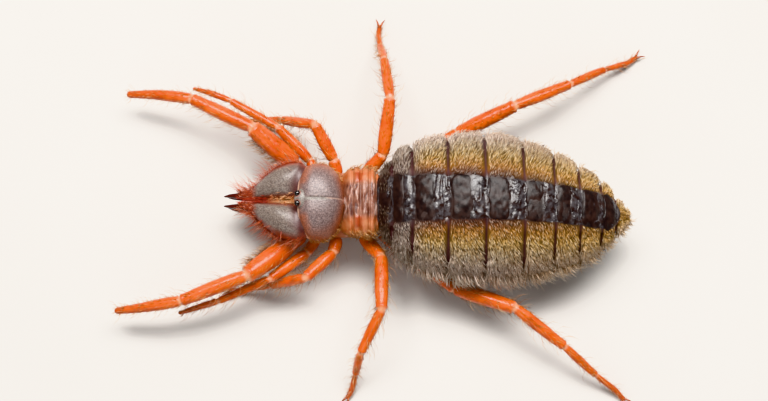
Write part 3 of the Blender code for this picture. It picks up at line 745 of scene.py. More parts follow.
dark_front = mix(MARKINGS, front, colour(0.055, 0.028, 0.021), grey_second)
grooved = mix(MARKINGS, given["Groove"], dark_front, colour(0.070, 0.028, 0.032))
MARKINGS.links.new(grooved, result["Color"])


def markings(tree):
    """The abdomen's own colours at each point."""
    made = put(tree, "ShaderNodeGroup", node_tree=MARKINGS)
    for label in ("around", "groove", "body"):
        tree.links.new(field(tree, label), made.inputs[label.capitalize()])
    return made.outputs["Color"]


print("markings:", [item.name for item in MARKINGS.interface.items_tree])

# %% [markdown]
# The skin itself is seen only in the grooves and on the stripe. Under the coat it is nearly
# black, so the bristles stand out; where the membrane is bare it is glossy, and a pale grey
# painted sheen lies in patches in its colour.

# %% Abdomen finish
ABDOMEN_FIELDS = ("around", "groove", "body", "stripe", "bare")
skin_finish, tree, shader, place = new_finish("abdomen_hide", 0.42, Specular_IOR_Level=0.42)
dull = graded(tree, 0.80, field(tree, "groove"), -0.50)
hide_tone = mix(tree, dull, markings(tree), colour(0.022, 0.007, 0.004))
black_tone = mottled(tree, place, 1.4, (0.010, 0.006, 0.006), (0.028, 0.014, 0.011))
# Painted sheen: a pale grey in patches on the bare membrane stands in for its glints.
painted_sheen = number(tree, "MULTIPLY", field(tree, "bare"), use(tree, BLOTCH, place, size=0.5))
stripe_black_and_sheen = mix(tree, painted_sheen, black_tone, colour(0.062, 0.056, 0.060))
feed(tree, shader, Base_Color=mix(tree, field(tree, "stripe"), hide_tone, stripe_black_and_sheen),
     Roughness=graded(tree, 0.52, field(tree, "bare"), -0.33))
bump(tree, shader, use(tree, GRAIN, place, size=0.16), 0.03)
new_piece("abdomen_skin", abdomen_shell, skin_finish, ABDOMEN_FIELDS, hides=("abdomen",))

# %% [markdown]
# Nine dark plates lie along the stripe, one on each ring but the last, over its front part. They
# could be painted too, but their rims catch the light, so each is a shallow closed shell with
# rounded corners: its rim sinks into the skin, and its top is slightly dented.

# %% Back plates
PLATE_SHARES = ((0.06, 0.90), (0.05, 0.62), (0.05, 0.62), (0.05, 0.64), (0.05, 0.64), (0.05, 0.68),
                (0.05, 0.80), (0.05, 0.88), (0.05, 0.92))
PLATE_LIFT = 0.07
PLATE_ROWS = 26
PLATE_COLUMNS = 60
RIM_DEPTH = 0.16
UNDER_DEPTH = 0.22
CORNER_ROUNDING = 0.08
EDGE_WANDER = 0.16
SIDE_OVERLAP = 1.10


def plate_shell(ring, first, last):
    """One plate over a share of its ring's length and the width of the stripe."""
    start, end = RING_JOINTS[ring], RING_JOINTS[ring + 1]
    x0, x1 = start + first * (end - start), start + last * (end - start)
    along = np.linspace(-1, 1, PLATE_ROWS)[:, None]
    across = np.linspace(-1, 1, PLATE_COLUMNS)[None]
    wander = lumps(np.stack(np.broadcast_arrays(x0 + 0 * across, across * 2.5, along * 0.8), -1), 0.8)
    half_length = (x1 - x0) / 2 * (1 - CORNER_ROUNDING * across ** 6)
    x = (x0 + x1) / 2 + along * (half_length + EDGE_WANDER * wander)
    angle = across * stripe_angle(x) * (SIDE_OVERLAP - 0.06 * np.abs(along) ** 3)
    rim = (1 - np.abs(along) ** 4) * (1 - np.abs(across) ** 9)
    skin = abdomen_outline(x, angle)
    height = -RIM_DEPTH + (PLATE_LIFT + 0.20) * rim ** 0.5
    height = height + rim * (0.08 * lumps(skin, 1.1) + 0.05 * lumps(skin * (1, 0.6, 1), 0.42))
    height = height + rim * 0.022 * lumps(skin * (1, 0.5, 1), 0.2)
    top = abdomen_outline(x, angle, height)
    under = abdomen_outline(x, angle, np.full(x.shape, -UNDER_DEPTH))
    return loft(np.concatenate([top, under[:, ::-1]], 1))


plates = together([plate_shell(ring, first, last) for ring, (first, last) in enumerate(PLATE_SHARES)])
plate_finish, tree, shader, place = new_finish("black_plate", 0.40, Specular_IOR_Level=0.24)
feed(tree, shader, Base_Color=mottled(tree, place, 0.7, (0.010, 0.006, 0.006), (0.028, 0.016, 0.014)),
     Roughness=graded(tree, 0.30, use(tree, GRAIN, place, size=0.25), 0.18))
bump(tree, shader, use(tree, GRAIN, place, size=0.12), 0.015)
new_piece("back_plates", plates, plate_finish)

# %% [markdown]
# The bristles come next. They grow everywhere but in the grooves and on the stripe, denser where
# the body is wide and thin on the belly. Places are drawn at random and then kept or dropped, so
# the rules for bare skin are one line each, and the edges of the grooves stay ragged.

# %% Coat places
COAT_CANDIDATES = 57000
COAT_ENDS = (-0.5, 27.27)
FRONT_EDGE = 0.95
BELLY_DENSITY = 0.40
RAGGEDNESS = 0.10
REAR_BARE, REAR_BARE_SHARE = 0.27, 0.055
FRONT_BARE, FRONT_BARE_SHARE = 0.08, 0.045
WIDEST_HALF = max(half_width for _, half_width, *_ in ABDOMEN_STATIONS)


def scatter_abdomen(count):
    """Places for bristles, thicker where the photograph shows the coat dense."""
    x = draw.uniform(*COAT_ENDS, count)
    angle = draw.uniform(-math.pi, math.pi, count)
    from_back = np.abs(angle)
    ring, share, _ = ring_place(x)
    length = RING_JOINTS[ring + 1] - RING_JOINTS[ring]
    ragged = RAGGEDNESS * lumps(np.stack([x, 4 * angle, 0 * x], -1), 0.9)
    slit = 1 - 0.55 * step(from_back, 0.9, 1.3)
    rear_gap = (REAR_BARE + REAR_BARE_SHARE * length + ragged) * slit
    front_gap = (FRONT_BARE + FRONT_BARE_SHARE * length) * slit
    bare = ((1 - share) * length < rear_gap) & (ring < len(PLATE_SHARES))
    bare |= share * length < front_gap
    front = (x < FRONT_EDGE) & (from_back > 0.1)
    half_width = smooth(ABDOMEN_STATIONS, inside(x), 1)
    density = np.where(from_back < 2.0, 1.0, BELLY_DENSITY) * (0.25 + 0.75 * half_width / WIDEST_HALF)
    density = density * np.where(front, 0.5, 1.0)
    keep = (draw.random(count) < density) & ~bare & ((from_back > stripe_angle(x)) | front)
    return x[keep], angle[keep]


x, angle = scatter_abdomen(COAT_CANDIDATES)
print("abdomen bristles:", len(x), "of", COAT_CANDIDATES)

# %% [markdown]
# The coat is short and flat beside the stripe, and long and loose on the lower flank, with some
# longer guard hairs. The bristles lean back and down, and a slow random turn gathers them in
# tufts. The flank that faces away from the camera lies flatter, as it does in the photograph.

# %% Coat lie and length
BRISTLE_WIDTH = 0.084
TOP_LENGTH, UPPER_GROWTH, LOWER_GROWTH = 0.48, 0.36, 0.75
TOP_RISE, LOWER_RISE, GUARD_RISE = 34, 20, 12
LOW_FLANK = (0.38, 0.58)
SHELTERED_FLANK = (0.15, 0.45)
GUARD_SHARE = 0.22
GUARD_FLANK = (0.36, 0.75)
GUARD_GROWTH = (0.8, 1.9)
LEAN = 1.15
WIDE_TUFTS, FINE_TUFTS = 0.24, 0.09
count = len(x)
roots, out, back, round_body = on_surface(abdomen_skin_point, x, angle)
out *= np.where(np.sum(out * (roots - abdomen_outline(x, angle, -3.0)), 1) < 0, -1, 1)[:, None]
side = np.sign(angle)[:, None]
around, groove, body, _ = abdomen_marks(x, angle)
lean = LEAN + WIDE_TUFTS * lumps(roots, 1.8) + FINE_TUFTS * lumps(roots + 40, 0.6)
lean = lean + draw.normal(0, 0.14, count)
lie = back * np.cos(lean)[:, None] + round_body * side * np.sin(lean)[:, None]
low_flank = step(around, *LOW_FLANK)
sheltered = step(around, *SHELTERED_FLANK) * (angle > 0)
guard = (draw.random(count) < GUARD_SHARE) & (around > GUARD_FLANK[0]) & (around < GUARD_FLANK[1])
length = TOP_LENGTH + UPPER_GROWTH * step(around, 0.02, 0.2) + LOWER_GROWTH * low_flank
length = length * draw.uniform(0.75, 1.25, count)
length += guard * draw.uniform(*GUARD_GROWTH, count)
length *= 1 - 0.42 * sheltered
length *= 1 - 0.55 * step(body, 0.84, 1.0)
rise = TOP_RISE + LOWER_RISE * low_flank + GUARD_RISE * guard
leave = np.radians(rise) + draw.normal(0, 0.12, count)
leave *= 1 - 0.35 * sheltered
reach = leave * (0.45 + 0.30 * low_flank)
width = BRISTLE_WIDTH * draw.uniform(0.7, 1.2, count) * (1 + 0.2 * guard)
bake_place = np.column_stack([np.clip(body, 0, 1), (angle + math.pi) / (2 * math.pi)])
print("longest bristle:", round(length.max(), 2), "mm, guard hairs:", int(guard.sum()))

# %% [markdown]
# Each bristle takes the marking's colour at its root and bleaches towards the tip, the few with
# the highest draw most of all, and the lower flank more than the back. A ramp over the draw keeps
# some bristles dark, which gives the coat its depth. The coat is cut into pieces of a size that
# can be exported.

# %% Abdomen coat
COAT_LIMIT = 19500
bristle_finish, tree, shader, _ = new_finish("straw_bristle", 0.45)
marks_tone = markings(tree)
behind_front = remap(tree, field(tree, "body"), 0.05, 0.12)
few = number(tree, "MULTIPLY", number(tree, "POWER", field(tree, "draw"), 3.0), behind_front)
lower = graded(tree, 0.12, field(tree, "around"), 0.75)
bleached = number(tree, "ADD", lower, number(tree, "MULTIPLY", few, 0.60))
root_tone = mix(tree, 0.38, marks_tone, colour(0.04, 0.014, 0.006))
tip_tone = mix(tree, bleached, marks_tone, colour(0.98, 0.87, 0.73))
pale = mix(tree, field(tree, "along"), root_tone, tip_tone)
pick = ramp(tree, field(tree, "draw"), (0.0, colour(0.25, 0.16, 0.10)), (0.16, colour(0.80, 0.72, 0.62)),
            (1.0, colour(1.0, 1.0, 1.0)))
feed(tree, shader, Base_Color=mix(tree, 1.0, pale, pick, "MULTIPLY"))
for start in range(0, count, COAT_LIMIT):
    some = slice(start, start + COAT_LIMIT)
    marks = (around[some], groove[some] * 0.4, body[some])
    coat, bake = hairs(roots[some], out[some], lie[some], length[some], width[some], leave[some],
                       reach[some], marks, bake_place[some])
    new_piece(f"abdomen_coat_{start // COAT_LIMIT + 1}", coat, bristle_finish,
              ("along", "draw", "around", "groove", "body"), bake_map=bake)

# %% [markdown]
# The head shield is a smooth dome that covers the rear of the pincers. Its front rim is a thin
# raised line that sweeps back at the sides, a shallow groove runs back from between the eyes, and
# a short crease marks each side lobe. A squared-off ball that is cut along a curve gives all of
# that in one surface, with no join between dome and rim.

# %% Shield shape
SHIELD_CENTRE = np.array((-7.05, 0.0))
SHIELD_HALVES = (2.75, 4.32)
SHIELD_LEVELS = (5.3, 6.52, 10.0)
SHIELD_POWER = 2.55
SHIELD_PLAN_POWER = 2.6
SHIELD_LIFT = 0.35
SHIELD_FRONT = -9.55
SHIELD_END_TURN = 1.35
TUCK = 0.16
LIP_SWEEP = 1.5
LIP_HALF_SPAN = 4.4
LIP_HEIGHT = 0.10
LIP_WIDTH = 0.095
LIP_DROP = 0.35
MIDLINE_DEPTH, MIDLINE_WIDTH = 0.07, 0.13
CREASE_DEPTH, CREASE_WIDTH = 0.05, 0.09
SHIELD_LUMP_HEIGHT, SHIELD_LUMP_SIZE = 0.05, 1.6


def lip_place(y):
    """Where the shield's front lip lies, at each place across the head."""
    return SHIELD_FRONT + LIP_SWEEP * np.clip(np.abs(y) / LIP_HALF_SPAN, 0, 1.05) ** 4


def shield_point(turn, angle):
    """The dome: turn is 0 at the top, 1 at the widest level and SHIELD_END_TURN at the bottom."""
    turn, angle = np.broadcast_arrays(np.asarray(turn, float), np.asarray(angle, float))
    bottom, widest, top = SHIELD_LEVELS
    quarter = np.clip(turn, 0, 1) * math.pi / 2
    out = np.sin(quarter) ** (2 / SHIELD_POWER)
    up = np.cos(quarter).clip(0) ** (2 / SHIELD_POWER)
    below = np.clip((turn - 1) / 0.35, 0, 1)
    out = out - TUCK * below ** 2
    power = np.where(np.cos(angle) < 0, 2 / SHIELD_PLAN_POWER, 1.0)
    x = SHIELD_CENTRE[0] + SHIELD_HALVES[0] * out * bent(np.cos(angle), power)
    y = SHIELD_HALVES[1] * out * bent(np.sin(angle), power)
    z = widest + (top - widest) * up
    z = z - (widest - bottom) * below
    forward = (SHIELD_CENTRE[0] - x) / SHIELD_HALVES[0]
    z = z + SHIELD_LIFT * forward * np.clip((z - bottom) / (top - bottom), 0, 1)
    behind = x - lip_place(y)
    x = np.where(behind < 0, lip_place(y) + 0.10 * behind, x)
    z = z - LIP_DROP * step(-behind, 0.0, 0.25)
    groove = peak(y, MIDLINE_WIDTH) * step(x, -8.8, -8.2) * step(up, 0.2, 0.6)
    crease = peak(np.abs(y) - (2.5 + 0.9 * (x + 8.6)), CREASE_WIDTH)
    crease = crease * peak(x + 8.0, 0.55) * step(up, 0.1, 0.3)
    z = z - MIDLINE_DEPTH * groove - CREASE_DEPTH * crease + LIP_HEIGHT * peak(behind - 0.10, 0.09)
    points = np.stack([x, y, z], -1)
    normal = np.stack([np.cos(angle) * out, np.sin(angle) * out, up + 0.2], -1)
    uneven = SHIELD_LUMP_HEIGHT * lumps(points, SHIELD_LUMP_SIZE)
    return points + unit(normal) * uneven[..., None]


print("shield:", 2 * SHIELD_HALVES[0], "by", 2 * SHIELD_HALVES[1], "mm")

# %% [markdown]
# The dome's rings carry three values: the pale rim with the light hind part of the midline, how
# far a place lies down the side, where the shield turns red brown, partly its own colour and
# partly painted shade, and a grey band behind the eyes.

# %% Shield rings
turns = np.concatenate([np.linspace(0.015, 0.45, 30, endpoint=False),
                        np.linspace(0.45, 1.0, 90, endpoint=False), np.linspace(1.0, SHIELD_END_TURN, 12)])
angles = np.linspace(0, 2 * math.pi, 200, endpoint=False)
rings = []
for turn in turns:
    points = shield_point(turn, angles)
    x, y = points[:, 0], points[:, 1]
    behind = x - lip_place(y)
    lip = peak(behind - 0.08, LIP_WIDTH) * step(turn, 0.2, 0.3)
    midline = 0.35 * peak(y, 0.055) * step(x, -6.6, -5.9) * (turn < 0.8)
    pale_band = 0.85 * peak(y + 0.06, 0.19) * step(x, -8.9, -8.5) * (1 - step(x, -6.7, -5.7))
    lobe = step(np.abs(y), 1.3, 2.0) * (1 - step(behind, 0.5, 1.0 + 0.25 * np.abs(y).clip(0, 3)))
    low = np.maximum(step(turn, 0.35, 0.90), 0.75 * lobe * (1 - lip))
    rings.append(np.column_stack([points, np.maximum(lip, midline), low, pale_band]))
shield_shell = loft(rings)
print("dome:", len(rings), "rings of", len(angles))

# %% [markdown]
# The eyes sit in the sides of a small grey knob at the front of the shield, each in a socket of a
# redder tone. The knob is a ball sunk into the dome; the two overlap, so nothing has to be cut
# and joined.

# %% Eye knob
KNOB_CENTRE = np.array((-8.98, 0.0, 9.20))
KNOB_RADII = np.array((0.90, 1.12, 0.60))
SOCKET_REACH = (0.40, 0.50)


def ball(centre, radii, rows=24, columns=36, squash=0.0):
    """A closed, slightly uneven ball."""
    down = np.linspace(0.02, math.pi - 0.02, rows)[:, None]
    turn = np.linspace(0, 2 * math.pi, columns, endpoint=False)[None]
    way = (np.sin(down) * np.cos(turn), np.sin(down) * np.sin(turn), np.cos(down))
    way = np.stack(np.broadcast_arrays(*way), -1)
    points = centre + way * radii
    return points + way * (squash * lumps(points, 0.5))[..., None]


knob = ball(KNOB_CENTRE, KNOB_RADII, 40, 60, squash=0.05)
to_eye = np.min([np.linalg.norm(knob - EYE_PLACE * (1, side, 1), axis=-1) for _, side in SIDES], 0)
socket = 1 - step(to_eye, *SOCKET_REACH)
knob = np.concatenate([knob, np.stack([0 * socket, 0.45 * socket, 0.7 - 0.7 * socket], -1)], -1)
print("knob:", (2 * KNOB_RADII).tolist(), "mm")

# %% [markdown]
# The shield's cuticle is a dull mauve, speckled light and dark and pricked with small dark
# points. The colours are laid on one after another, each where its value says.

# %% Shield finish
shield_finish, tree, shader, place = new_finish("mauve_shield", 0.44, Coat_Weight=0.12, Coat_Roughness=0.35)
dots = use(tree, STIPPLE, place, size=0.17, spread=0.62)
speckle = use(tree, BLOTCH, place, size=0.15, low=0.30, high=0.70)
base = mix(tree, speckle, colour(0.085, 0.058, 0.060), colour(0.235, 0.170, 0.155))
grizzled = mix(tree, field(tree, "knob"), base, colour(0.185, 0.175, 0.150))
# The red brown down the dome's sides is partly the shield's own colour and partly painted shade.
red = mix(tree, field(tree, "low"), grizzled, colour(0.31, 0.090, 0.038))
dotted = mix(tree, number(tree, "MULTIPLY", dots, 0.85), red, colour(0.045, 0.018, 0.018))
feed(tree, shader, Base_Color=mix(tree, field(tree, "rim"), dotted, colour(0.70, 0.45, 0.33)))
bump(tree, shader, dots, 0.02, 0.6)
new_piece("shield_dome", together([shield_shell, loft(knob)]), shield_finish,
          ("rim", "low", "knob"), hides=("head_shield",))

# %% [markdown]
# The two eyes are wet black balls, half sunk in the sides of the knob. A clear coat over a nearly
# black base gives the one sharp highlight that makes an eye look alive.

# %% Eyes
eye_finish = mottled_finish("eye_black", 0.06, 0.3, (0.004, 0.003, 0.003), (0.012, 0.008, 0.007),
                            Coat_Weight=0.6, Coat_Roughness=0.03)
EYE_RADII = np.full(3, EYE_RADIUS) * (1.0, 1.0, 0.96)
for word, side in SIDES:
    eye = loft(ball(EYE_PLACE * (1, side, 1), EYE_RADII, 32, 48))
    new_piece(f"eye_ball_{word}", eye, eye_finish, hides=(f"eye_{word}",))

# %% [markdown]
# Each pincer is a fat bulb that narrows to a horny fixed finger with teeth under it. Its rear end
# goes on under the shield, in a soft furrow. The bulb is a loft through stations, like its solid,
# with slow dents so that it doesn't look cast.

# %% Pincer shape
PINCER_STATIONS = (
    # x, inner y, outer y, top, bottom
    (-7.8, 0.30, 3.50, 8.6, 5.4), (-8.6, 0.20, 4.00, 8.9, 5.2), (-9.6, 0.15, 4.42, 9.0, 5.0),
    (-11.7, 0.15, 3.92, 8.6, 4.5), (-13.0, 0.15, 3.00, 7.9, 4.3), (-14.0, 0.18, 2.05, 7.1, 4.7),
    (-14.9, 0.22, 1.35, 6.4, 5.0), (-16.1, 0.30, 0.95, 5.8, 4.9), (-17.2, 0.38, 0.82, 5.2, 4.6),
    (-17.8, 0.44, 0.66, 4.75, 4.40),
)
PINCER_TIP = np.array((-18.05, 0.52, 4.38))
PINCER_TURN = 0.06
PINCER_TURN_START = -9.6
PINCER_ROUNDNESS = 2.2
DENT_HEIGHT = 0.07
FURROW_DEPTH = 0.30
FURROW_WIDTH = 0.55


def turned(points):
    """Points of the pincers, shifted towards the animal's right in front."""
    points = np.array(points, float)
    points[..., 1] += PINCER_TURN * np.maximum(0.0, PINCER_TURN_START - points[..., 0])
    return points


def pincer_point(side):
    """The surface of one pincer as a function of x and the angle round it."""
    def point(x, angle):
        inner, outer, top, bottom = section(PINCER_STATIONS, x)
        power = 2 / PINCER_ROUNDNESS
        y = (inner + outer) / 2 + (outer - inner) / 2 * bent(np.sin(angle), power)
        z = (top + bottom) / 2 + (top - bottom) / 2 * bent(np.cos(angle), power)
        points = np.stack(np.broadcast_arrays(x, y, z), -1)
        dent = DENT_HEIGHT * lumps(points, 1.2) * step(x, -14.5, -12.0)
        furrow = FURROW_DEPTH * peak(x - lip_place(y) + 0.05, FURROW_WIDTH) * np.clip(np.cos(angle), 0, 1)
        points[..., 2] += dent - furrow
        points[..., 1] = side * points[..., 1]
        return turned(points)
    return point


print("pincers:", PINCER_STATIONS[0][0] - PINCER_TIP[0], "mm long")

# %% [markdown]
# The top of a pincer is grey and speckled like the shield, with dark purple painted shade in the
# furrow under the shield's lip, red brown on the flanks, partly its own colour and partly painted
# shade, and dark polished horn at the tip. The lower finger is maroon horn all over.

# %% Pincer finishes
pincer_finish, tree, shader, place = new_finish("pincer_cuticle", 0.42, Coat_Weight=0.15, Coat_Roughness=0.3)
dots = use(tree, STIPPLE, place, size=0.18, spread=0.62)
speckle = use(tree, BLOTCH, place, size=0.15, low=0.30, high=0.70)
grey = mix(tree, speckle, colour(0.080, 0.062, 0.056), colour(0.230, 0.188, 0.156))
# Painted shade: the purple value darkens the top where the pincer goes under the shield's lip.
purple = mix(tree, field(tree, "purple"), grey, colour(0.070, 0.023, 0.022))
# The red brown flanks are partly the pincer's own colour and partly painted shade down its sides.
flanked = mix(tree, field(tree, "flank"), purple, colour(0.20, 0.030, 0.011))
dotted = mix(tree, number(tree, "MULTIPLY", dots, 0.8), flanked, colour(0.045, 0.016, 0.014))
feed(tree, shader, Base_Color=mix(tree, field(tree, "horn"), dotted, colour(0.050, 0.006, 0.004)),
     Roughness=graded(tree, 0.44, field(tree, "horn"), -0.24))
bump(tree, shader, dots, 0.02, 0.6)
jaw_finish = mottled_finish("maroon_jaw", 0.22, 0.5, (0.045, 0.008, 0.006), (0.11, 0.02, 0.012),
                            grain=0.1, depth=0.008, Coat_Weight=0.3, Coat_Roughness=0.15)
print("pincer finishes:", pincer_finish.name, jaw_finish.name)

# %% [markdown]
# The teeth are blunt cones, larger and smaller by turns, that stand under the fixed finger and on
# the lower one. They are shells of their own, sunk a little into the finger.

# %% Teeth
UPPER_TEETH = ((-14.9, 0.45), (-15.5, 0.34), (-16.1, 0.42), (-16.7, 0.26), (-17.2, 0.2))
LOWER_TEETH = ((-14.5, 0.32), (-15.1, 0.26), (-15.8, 0.32), (-16.4, 0.20))
UPPER_TOOTH_RADIUS = 0.17
LOWER_TOOTH_RADIUS = 0.15
TOOTH_LEAN = 0.05
TOOTH_SINK = np.array((0, 0, 0.12))


def tooth_rings(base, tip, radius, sides=8):
    """The rings of a blunt tooth from base to tip."""
    along = unit(tip - base)
    first = unit(np.cross(along, (1.0, 0.2, 0.1)))
    second = np.cross(along, first)
    turn = np.linspace(0, 2 * math.pi, sides, endpoint=False)[:, None]
    rows = []
    for share, thick in ((0, 1.0), (0.35, 0.9), (0.7, 0.55), (0.92, 0.22)):
        middle = base + (tip - base) * share
        rows.append(middle + radius * thick * (np.cos(turn) * first + np.sin(turn) * second))
    return np.array(rows)


print("teeth a side:", len(UPPER_TEETH), "above,", len(LOWER_TEETH), "below")

# %% [markdown]
# The two bulbs are mirror images but for the slow dents and the slight turn to the right. Their
# points carry how far a place is on the flank, how horny it is, and how near the furrow, where
# shade is painted. The narrow finger gets shorter steps than the bulb, because it bends more.

# %% Pincer bulbs
PINCER_ANGLES = np.linspace(-math.pi, math.pi, 56, endpoint=False)
BULB_REAR, BULB_MIDDLE, BULB_FRONT = PINCER_STATIONS[0][0], -12.0, PINCER_STATIONS[-1][0]
FLANK_ANGLES = (0.55, 1.25)
NARROW_PART = (13.9, 14.9)
HORNY_PART = (15.1, 16.4)
FURROW_SHADE_WIDTH = 0.90


def bulb_shell(side):
    """One pincer with its fixed finger and the teeth under it."""
    surface = pincer_point(side)
    rings = []
    for x in np.concatenate([np.linspace(BULB_REAR, BULB_MIDDLE, 44, endpoint=False),
                             np.linspace(BULB_MIDDLE, BULB_FRONT, 76)]):
        points = surface(np.full_like(PINCER_ANGLES, x), PINCER_ANGLES)
        flank = np.maximum(step(np.abs(PINCER_ANGLES), *FLANK_ANGLES), step(-x, *NARROW_PART))
        horn = np.full_like(flank, step(-x, *HORNY_PART))
        # The purple value is painted shade, strongest at the shield's lip.
        purple = peak(x - lip_place(points[:, 1]), FURROW_SHADE_WIDTH)
        rings.append(np.column_stack([points, flank, horn, purple]))
    tip = turned(PINCER_TIP * (1, side, 1))
    rings.append(with_fields(rings[-1][:, :3] * 0.35 + tip * 0.65, 1.0, 1.0, 0.0))
    shells = [loft(rings)]
    for x, height in UPPER_TEETH:
        root = surface(np.array([x]), np.array([math.pi]))[0]
        tooth = tooth_rings(root + TOOTH_SINK, root + (TOOTH_LEAN, 0, -height), UPPER_TOOTH_RADIUS)
        shells.append(loft(with_fields(tooth, 1.0, 1.0, 0.0)))
    return together(shells)


print("bulb steps along x:", BULB_REAR, "to", BULB_FRONT)

# %% [markdown]
# The lower finger is the jaw that moves on a live animal. Little of it shows from above, so a
# plain loft with an oval section is enough.

# %% Lower fingers
FINGER_STATIONS = (
    # x, inner y, outer y, top, bottom
    (-12.7, 0.75, 1.45, 3.6, 2.9), (-13.5, 0.45, 1.65, 3.75, 2.60), (-14.4, 0.35, 1.45, 3.90, 2.85),
    (-15.6, 0.35, 1.10, 4.00, 3.10), (-16.8, 0.38, 0.88, 4.02, 3.40), (-17.4, 0.46, 0.70, 4.08, 3.75),
)
FINGER_TIP = np.array((-17.65, 0.55, 4.12))


def finger_shell(side):
    """One lower finger with its teeth."""
    turn = np.linspace(0, 2 * math.pi, 28, endpoint=False)
    rings = []
    for x in np.linspace(FINGER_STATIONS[0][0], FINGER_STATIONS[-1][0], 50):
        inner, outer, top, bottom = section(FINGER_STATIONS, x)
        y = side * ((inner + outer) / 2 + (outer - inner) / 2 * np.sin(turn))
        z = (top + bottom) / 2 + (top - bottom) / 2 * np.cos(turn)
        rings.append(np.column_stack([np.full_like(y, x), y, z]))
    rings.append(rings[-1] * 0.35 + FINGER_TIP * (1, side, 1) * 0.65)
    shells = [loft(turned(rings))]
    for x, height in LOWER_TEETH:
        inner, outer, top, _ = section(FINGER_STATIONS, x)
        root = np.array((x, side * (inner + outer) / 2, top))
        tooth = tooth_rings(root - TOOTH_SINK, root + (TOOTH_LEAN, 0, height), LOWER_TOOTH_RADIUS)
        shells.append(loft(turned(tooth)))
    return together(shells)


for word, side in SIDES:
    new_piece(f"pincer_bulb_{word}", bulb_shell(side), pincer_finish,
              ("flank", "horn", "purple"), hides=(f"pincer_{word}",))
    new_piece(f"jaw_finger_{word}", finger_shell(side), jaw_finish, hides=(f"finger_{word}",))

# %% [markdown]
# Between the shield and the abdomen the back is soft: three rosy rings with fine folds, and a
# plate at each side. The folds run across, and a warp breaks them up so that they don't look
# like a comb. They are part of the mesh, because the light rakes over them.

# %% Waist shape
WAIST_STATIONS = (
    # x, half width, top, bottom
    (-5.3, 2.6, 6.6, 5.0), (-4.6, 3.2, 7.5, 5.0), (-4.0, 3.6, 8.6, 5.0), (-3.4, 3.85, 9.1, 5.0),
    (-2.2, 3.9, 9.2, 5.0), (-1.3, 3.8, 9.0, 5.0), (-0.7, 3.3, 8.5, 5.2), (-0.4, 2.6, 7.8, 5.4),
)
WAIST_JOINTS = np.array((-3.45, -2.55, -1.6, -0.85))
WAIST_ROUNDNESS = 2.4
WAIST_PINCH = 0.25
WAIST_DIP = 0.26
JOINT_WIDTH = 0.16
FOLD_HEIGHT = 0.10
SIDE_PLATE_HEIGHT = 0.12


def waist_fold(points):
    """Fine folds across the back, below 0 in a crease and above 0 on a crest."""
    warped = points[..., 0] * 11.0 + 3.4 * lumps(points * (0.6, 1, 1), 0.9)
    broken = lumps(points * (1.8, 0.55, 1), 0.40)
    return 0.35 * np.sin(warped) + broken


def plate_band(y):
    """1 on the band across the body that holds a side plate, 0 beside it."""
    return step(np.abs(y), 1.75, 2.05) * (1 - step(np.abs(y), 2.95, 3.2))


def waist_point(x, angle):
    """The soft waist: three rings across, gathered in folds on the back."""
    x, angle = np.broadcast_arrays(np.asarray(x, float), np.asarray(angle, float))
    half_width, top, bottom = section(WAIST_STATIONS, x)
    gap = np.min(np.abs(x[..., None] - WAIST_JOINTS), -1)
    half_width = half_width - WAIST_PINCH * peak(gap, JOINT_WIDTH)
    top = top - WAIST_DIP * peak(gap, JOINT_WIDTH)
    up = np.cos(angle)
    middle = (top + bottom) / 2
    y = half_width * bent(np.sin(angle), 2 / WAIST_ROUNDNESS)
    z = middle + (top - middle) * bent(up, 2 / WAIST_ROUNDNESS)
    points = np.stack([x, y, z], -1)
    back = 1 - step(np.abs(y), 1.6, 2.6)
    points[..., 2] += FOLD_HEIGHT * waist_fold(points) * (0.3 + 0.7 * back) * np.clip(up, 0, 1)
    plate = plate_band(y) * step(x, -3.3, -3.1) * (1 - step(x, -2.5, -2.3))
    points[..., 2] += SIDE_PLATE_HEIGHT * plate * np.clip(up, 0, 1)
    return points


print("waist:", len(WAIST_JOINTS) - 1, "rings")

# %% [markdown]
# Below the waist a broad wrinkled breast carries all the hips. It is hidden from above, but it
# closes the body when the model is seen from the side, so both are lofted and joined in one
# piece. Their points carry where crests, creases, side plates and flanks are.

# %% Waist and breast
BREAST_STATIONS = (
    # x, half width, top, bottom
    (-10.2, 1.0, 5.2, 4.2), (-9.3, 2.2, 5.9, 3.4), (-8.0, 3.2, 6.4, 2.95), (-6.0, 3.6, 6.8, 2.7),
    (-4.0, 3.6, 7.0, 2.7), (-2.0, 3.4, 7.2, 2.8), (-0.8, 3.0, 7.2, 3.0), (0.6, 2.2, 6.6, 3.6),
)
BREAST_WRINKLE = 0.06
BREAST_MIDDLE = 4.5
angles = np.linspace(-math.pi, math.pi, 150, endpoint=False)
above = np.cos(angles) > 0
waist_rings = []
for x in np.linspace(WAIST_STATIONS[0][0], WAIST_STATIONS[-1][0], 120):
    points = waist_point(x, angles)
    y = np.abs(points[:, 1])
    crest = (1 - step(y, 1.5, 2.3)) * above * waist_fold(points)
    plate = plate_band(y) * peak(x + 2.8, 0.42) * above
    side = np.maximum(step(y, 1.5, 2.6), np.cos(angles) < 0)
    # The crest and crease values carry a painted highlight on fold crests and painted shade in creases.
    marks = [step(crest, 0.35, 0.95), step(-crest, 0.15, 0.75), plate, side]
    waist_rings.append(np.column_stack([points, *marks]))
breast_rings = []
for x in np.linspace(BREAST_STATIONS[0][0], BREAST_STATIONS[-1][0], 70):
    half_width, top, bottom = section(BREAST_STATIONS, x)
    y = half_width * bent(np.sin(angles), 2 / WAIST_ROUNDNESS)
    z = (top + bottom) / 2 + (top - bottom) / 2 * bent(np.cos(angles), 2 / WAIST_ROUNDNESS)
    points = np.column_stack([np.full_like(angles, x), y, z])
    outwards = np.stack([np.sign(y), np.sign(z - BREAST_MIDDLE)])
    points[:, 1:] += BREAST_WRINKLE * (lumps(points, 0.8) * outwards).T
    # The breast takes a slight, even share of the painted crease shade.
    breast_rings.append(with_fields(points, 0.0, 0.1, 0.0, 1.0))
print("waist rings:", len(waist_rings), "breast rings:", len(breast_rings))
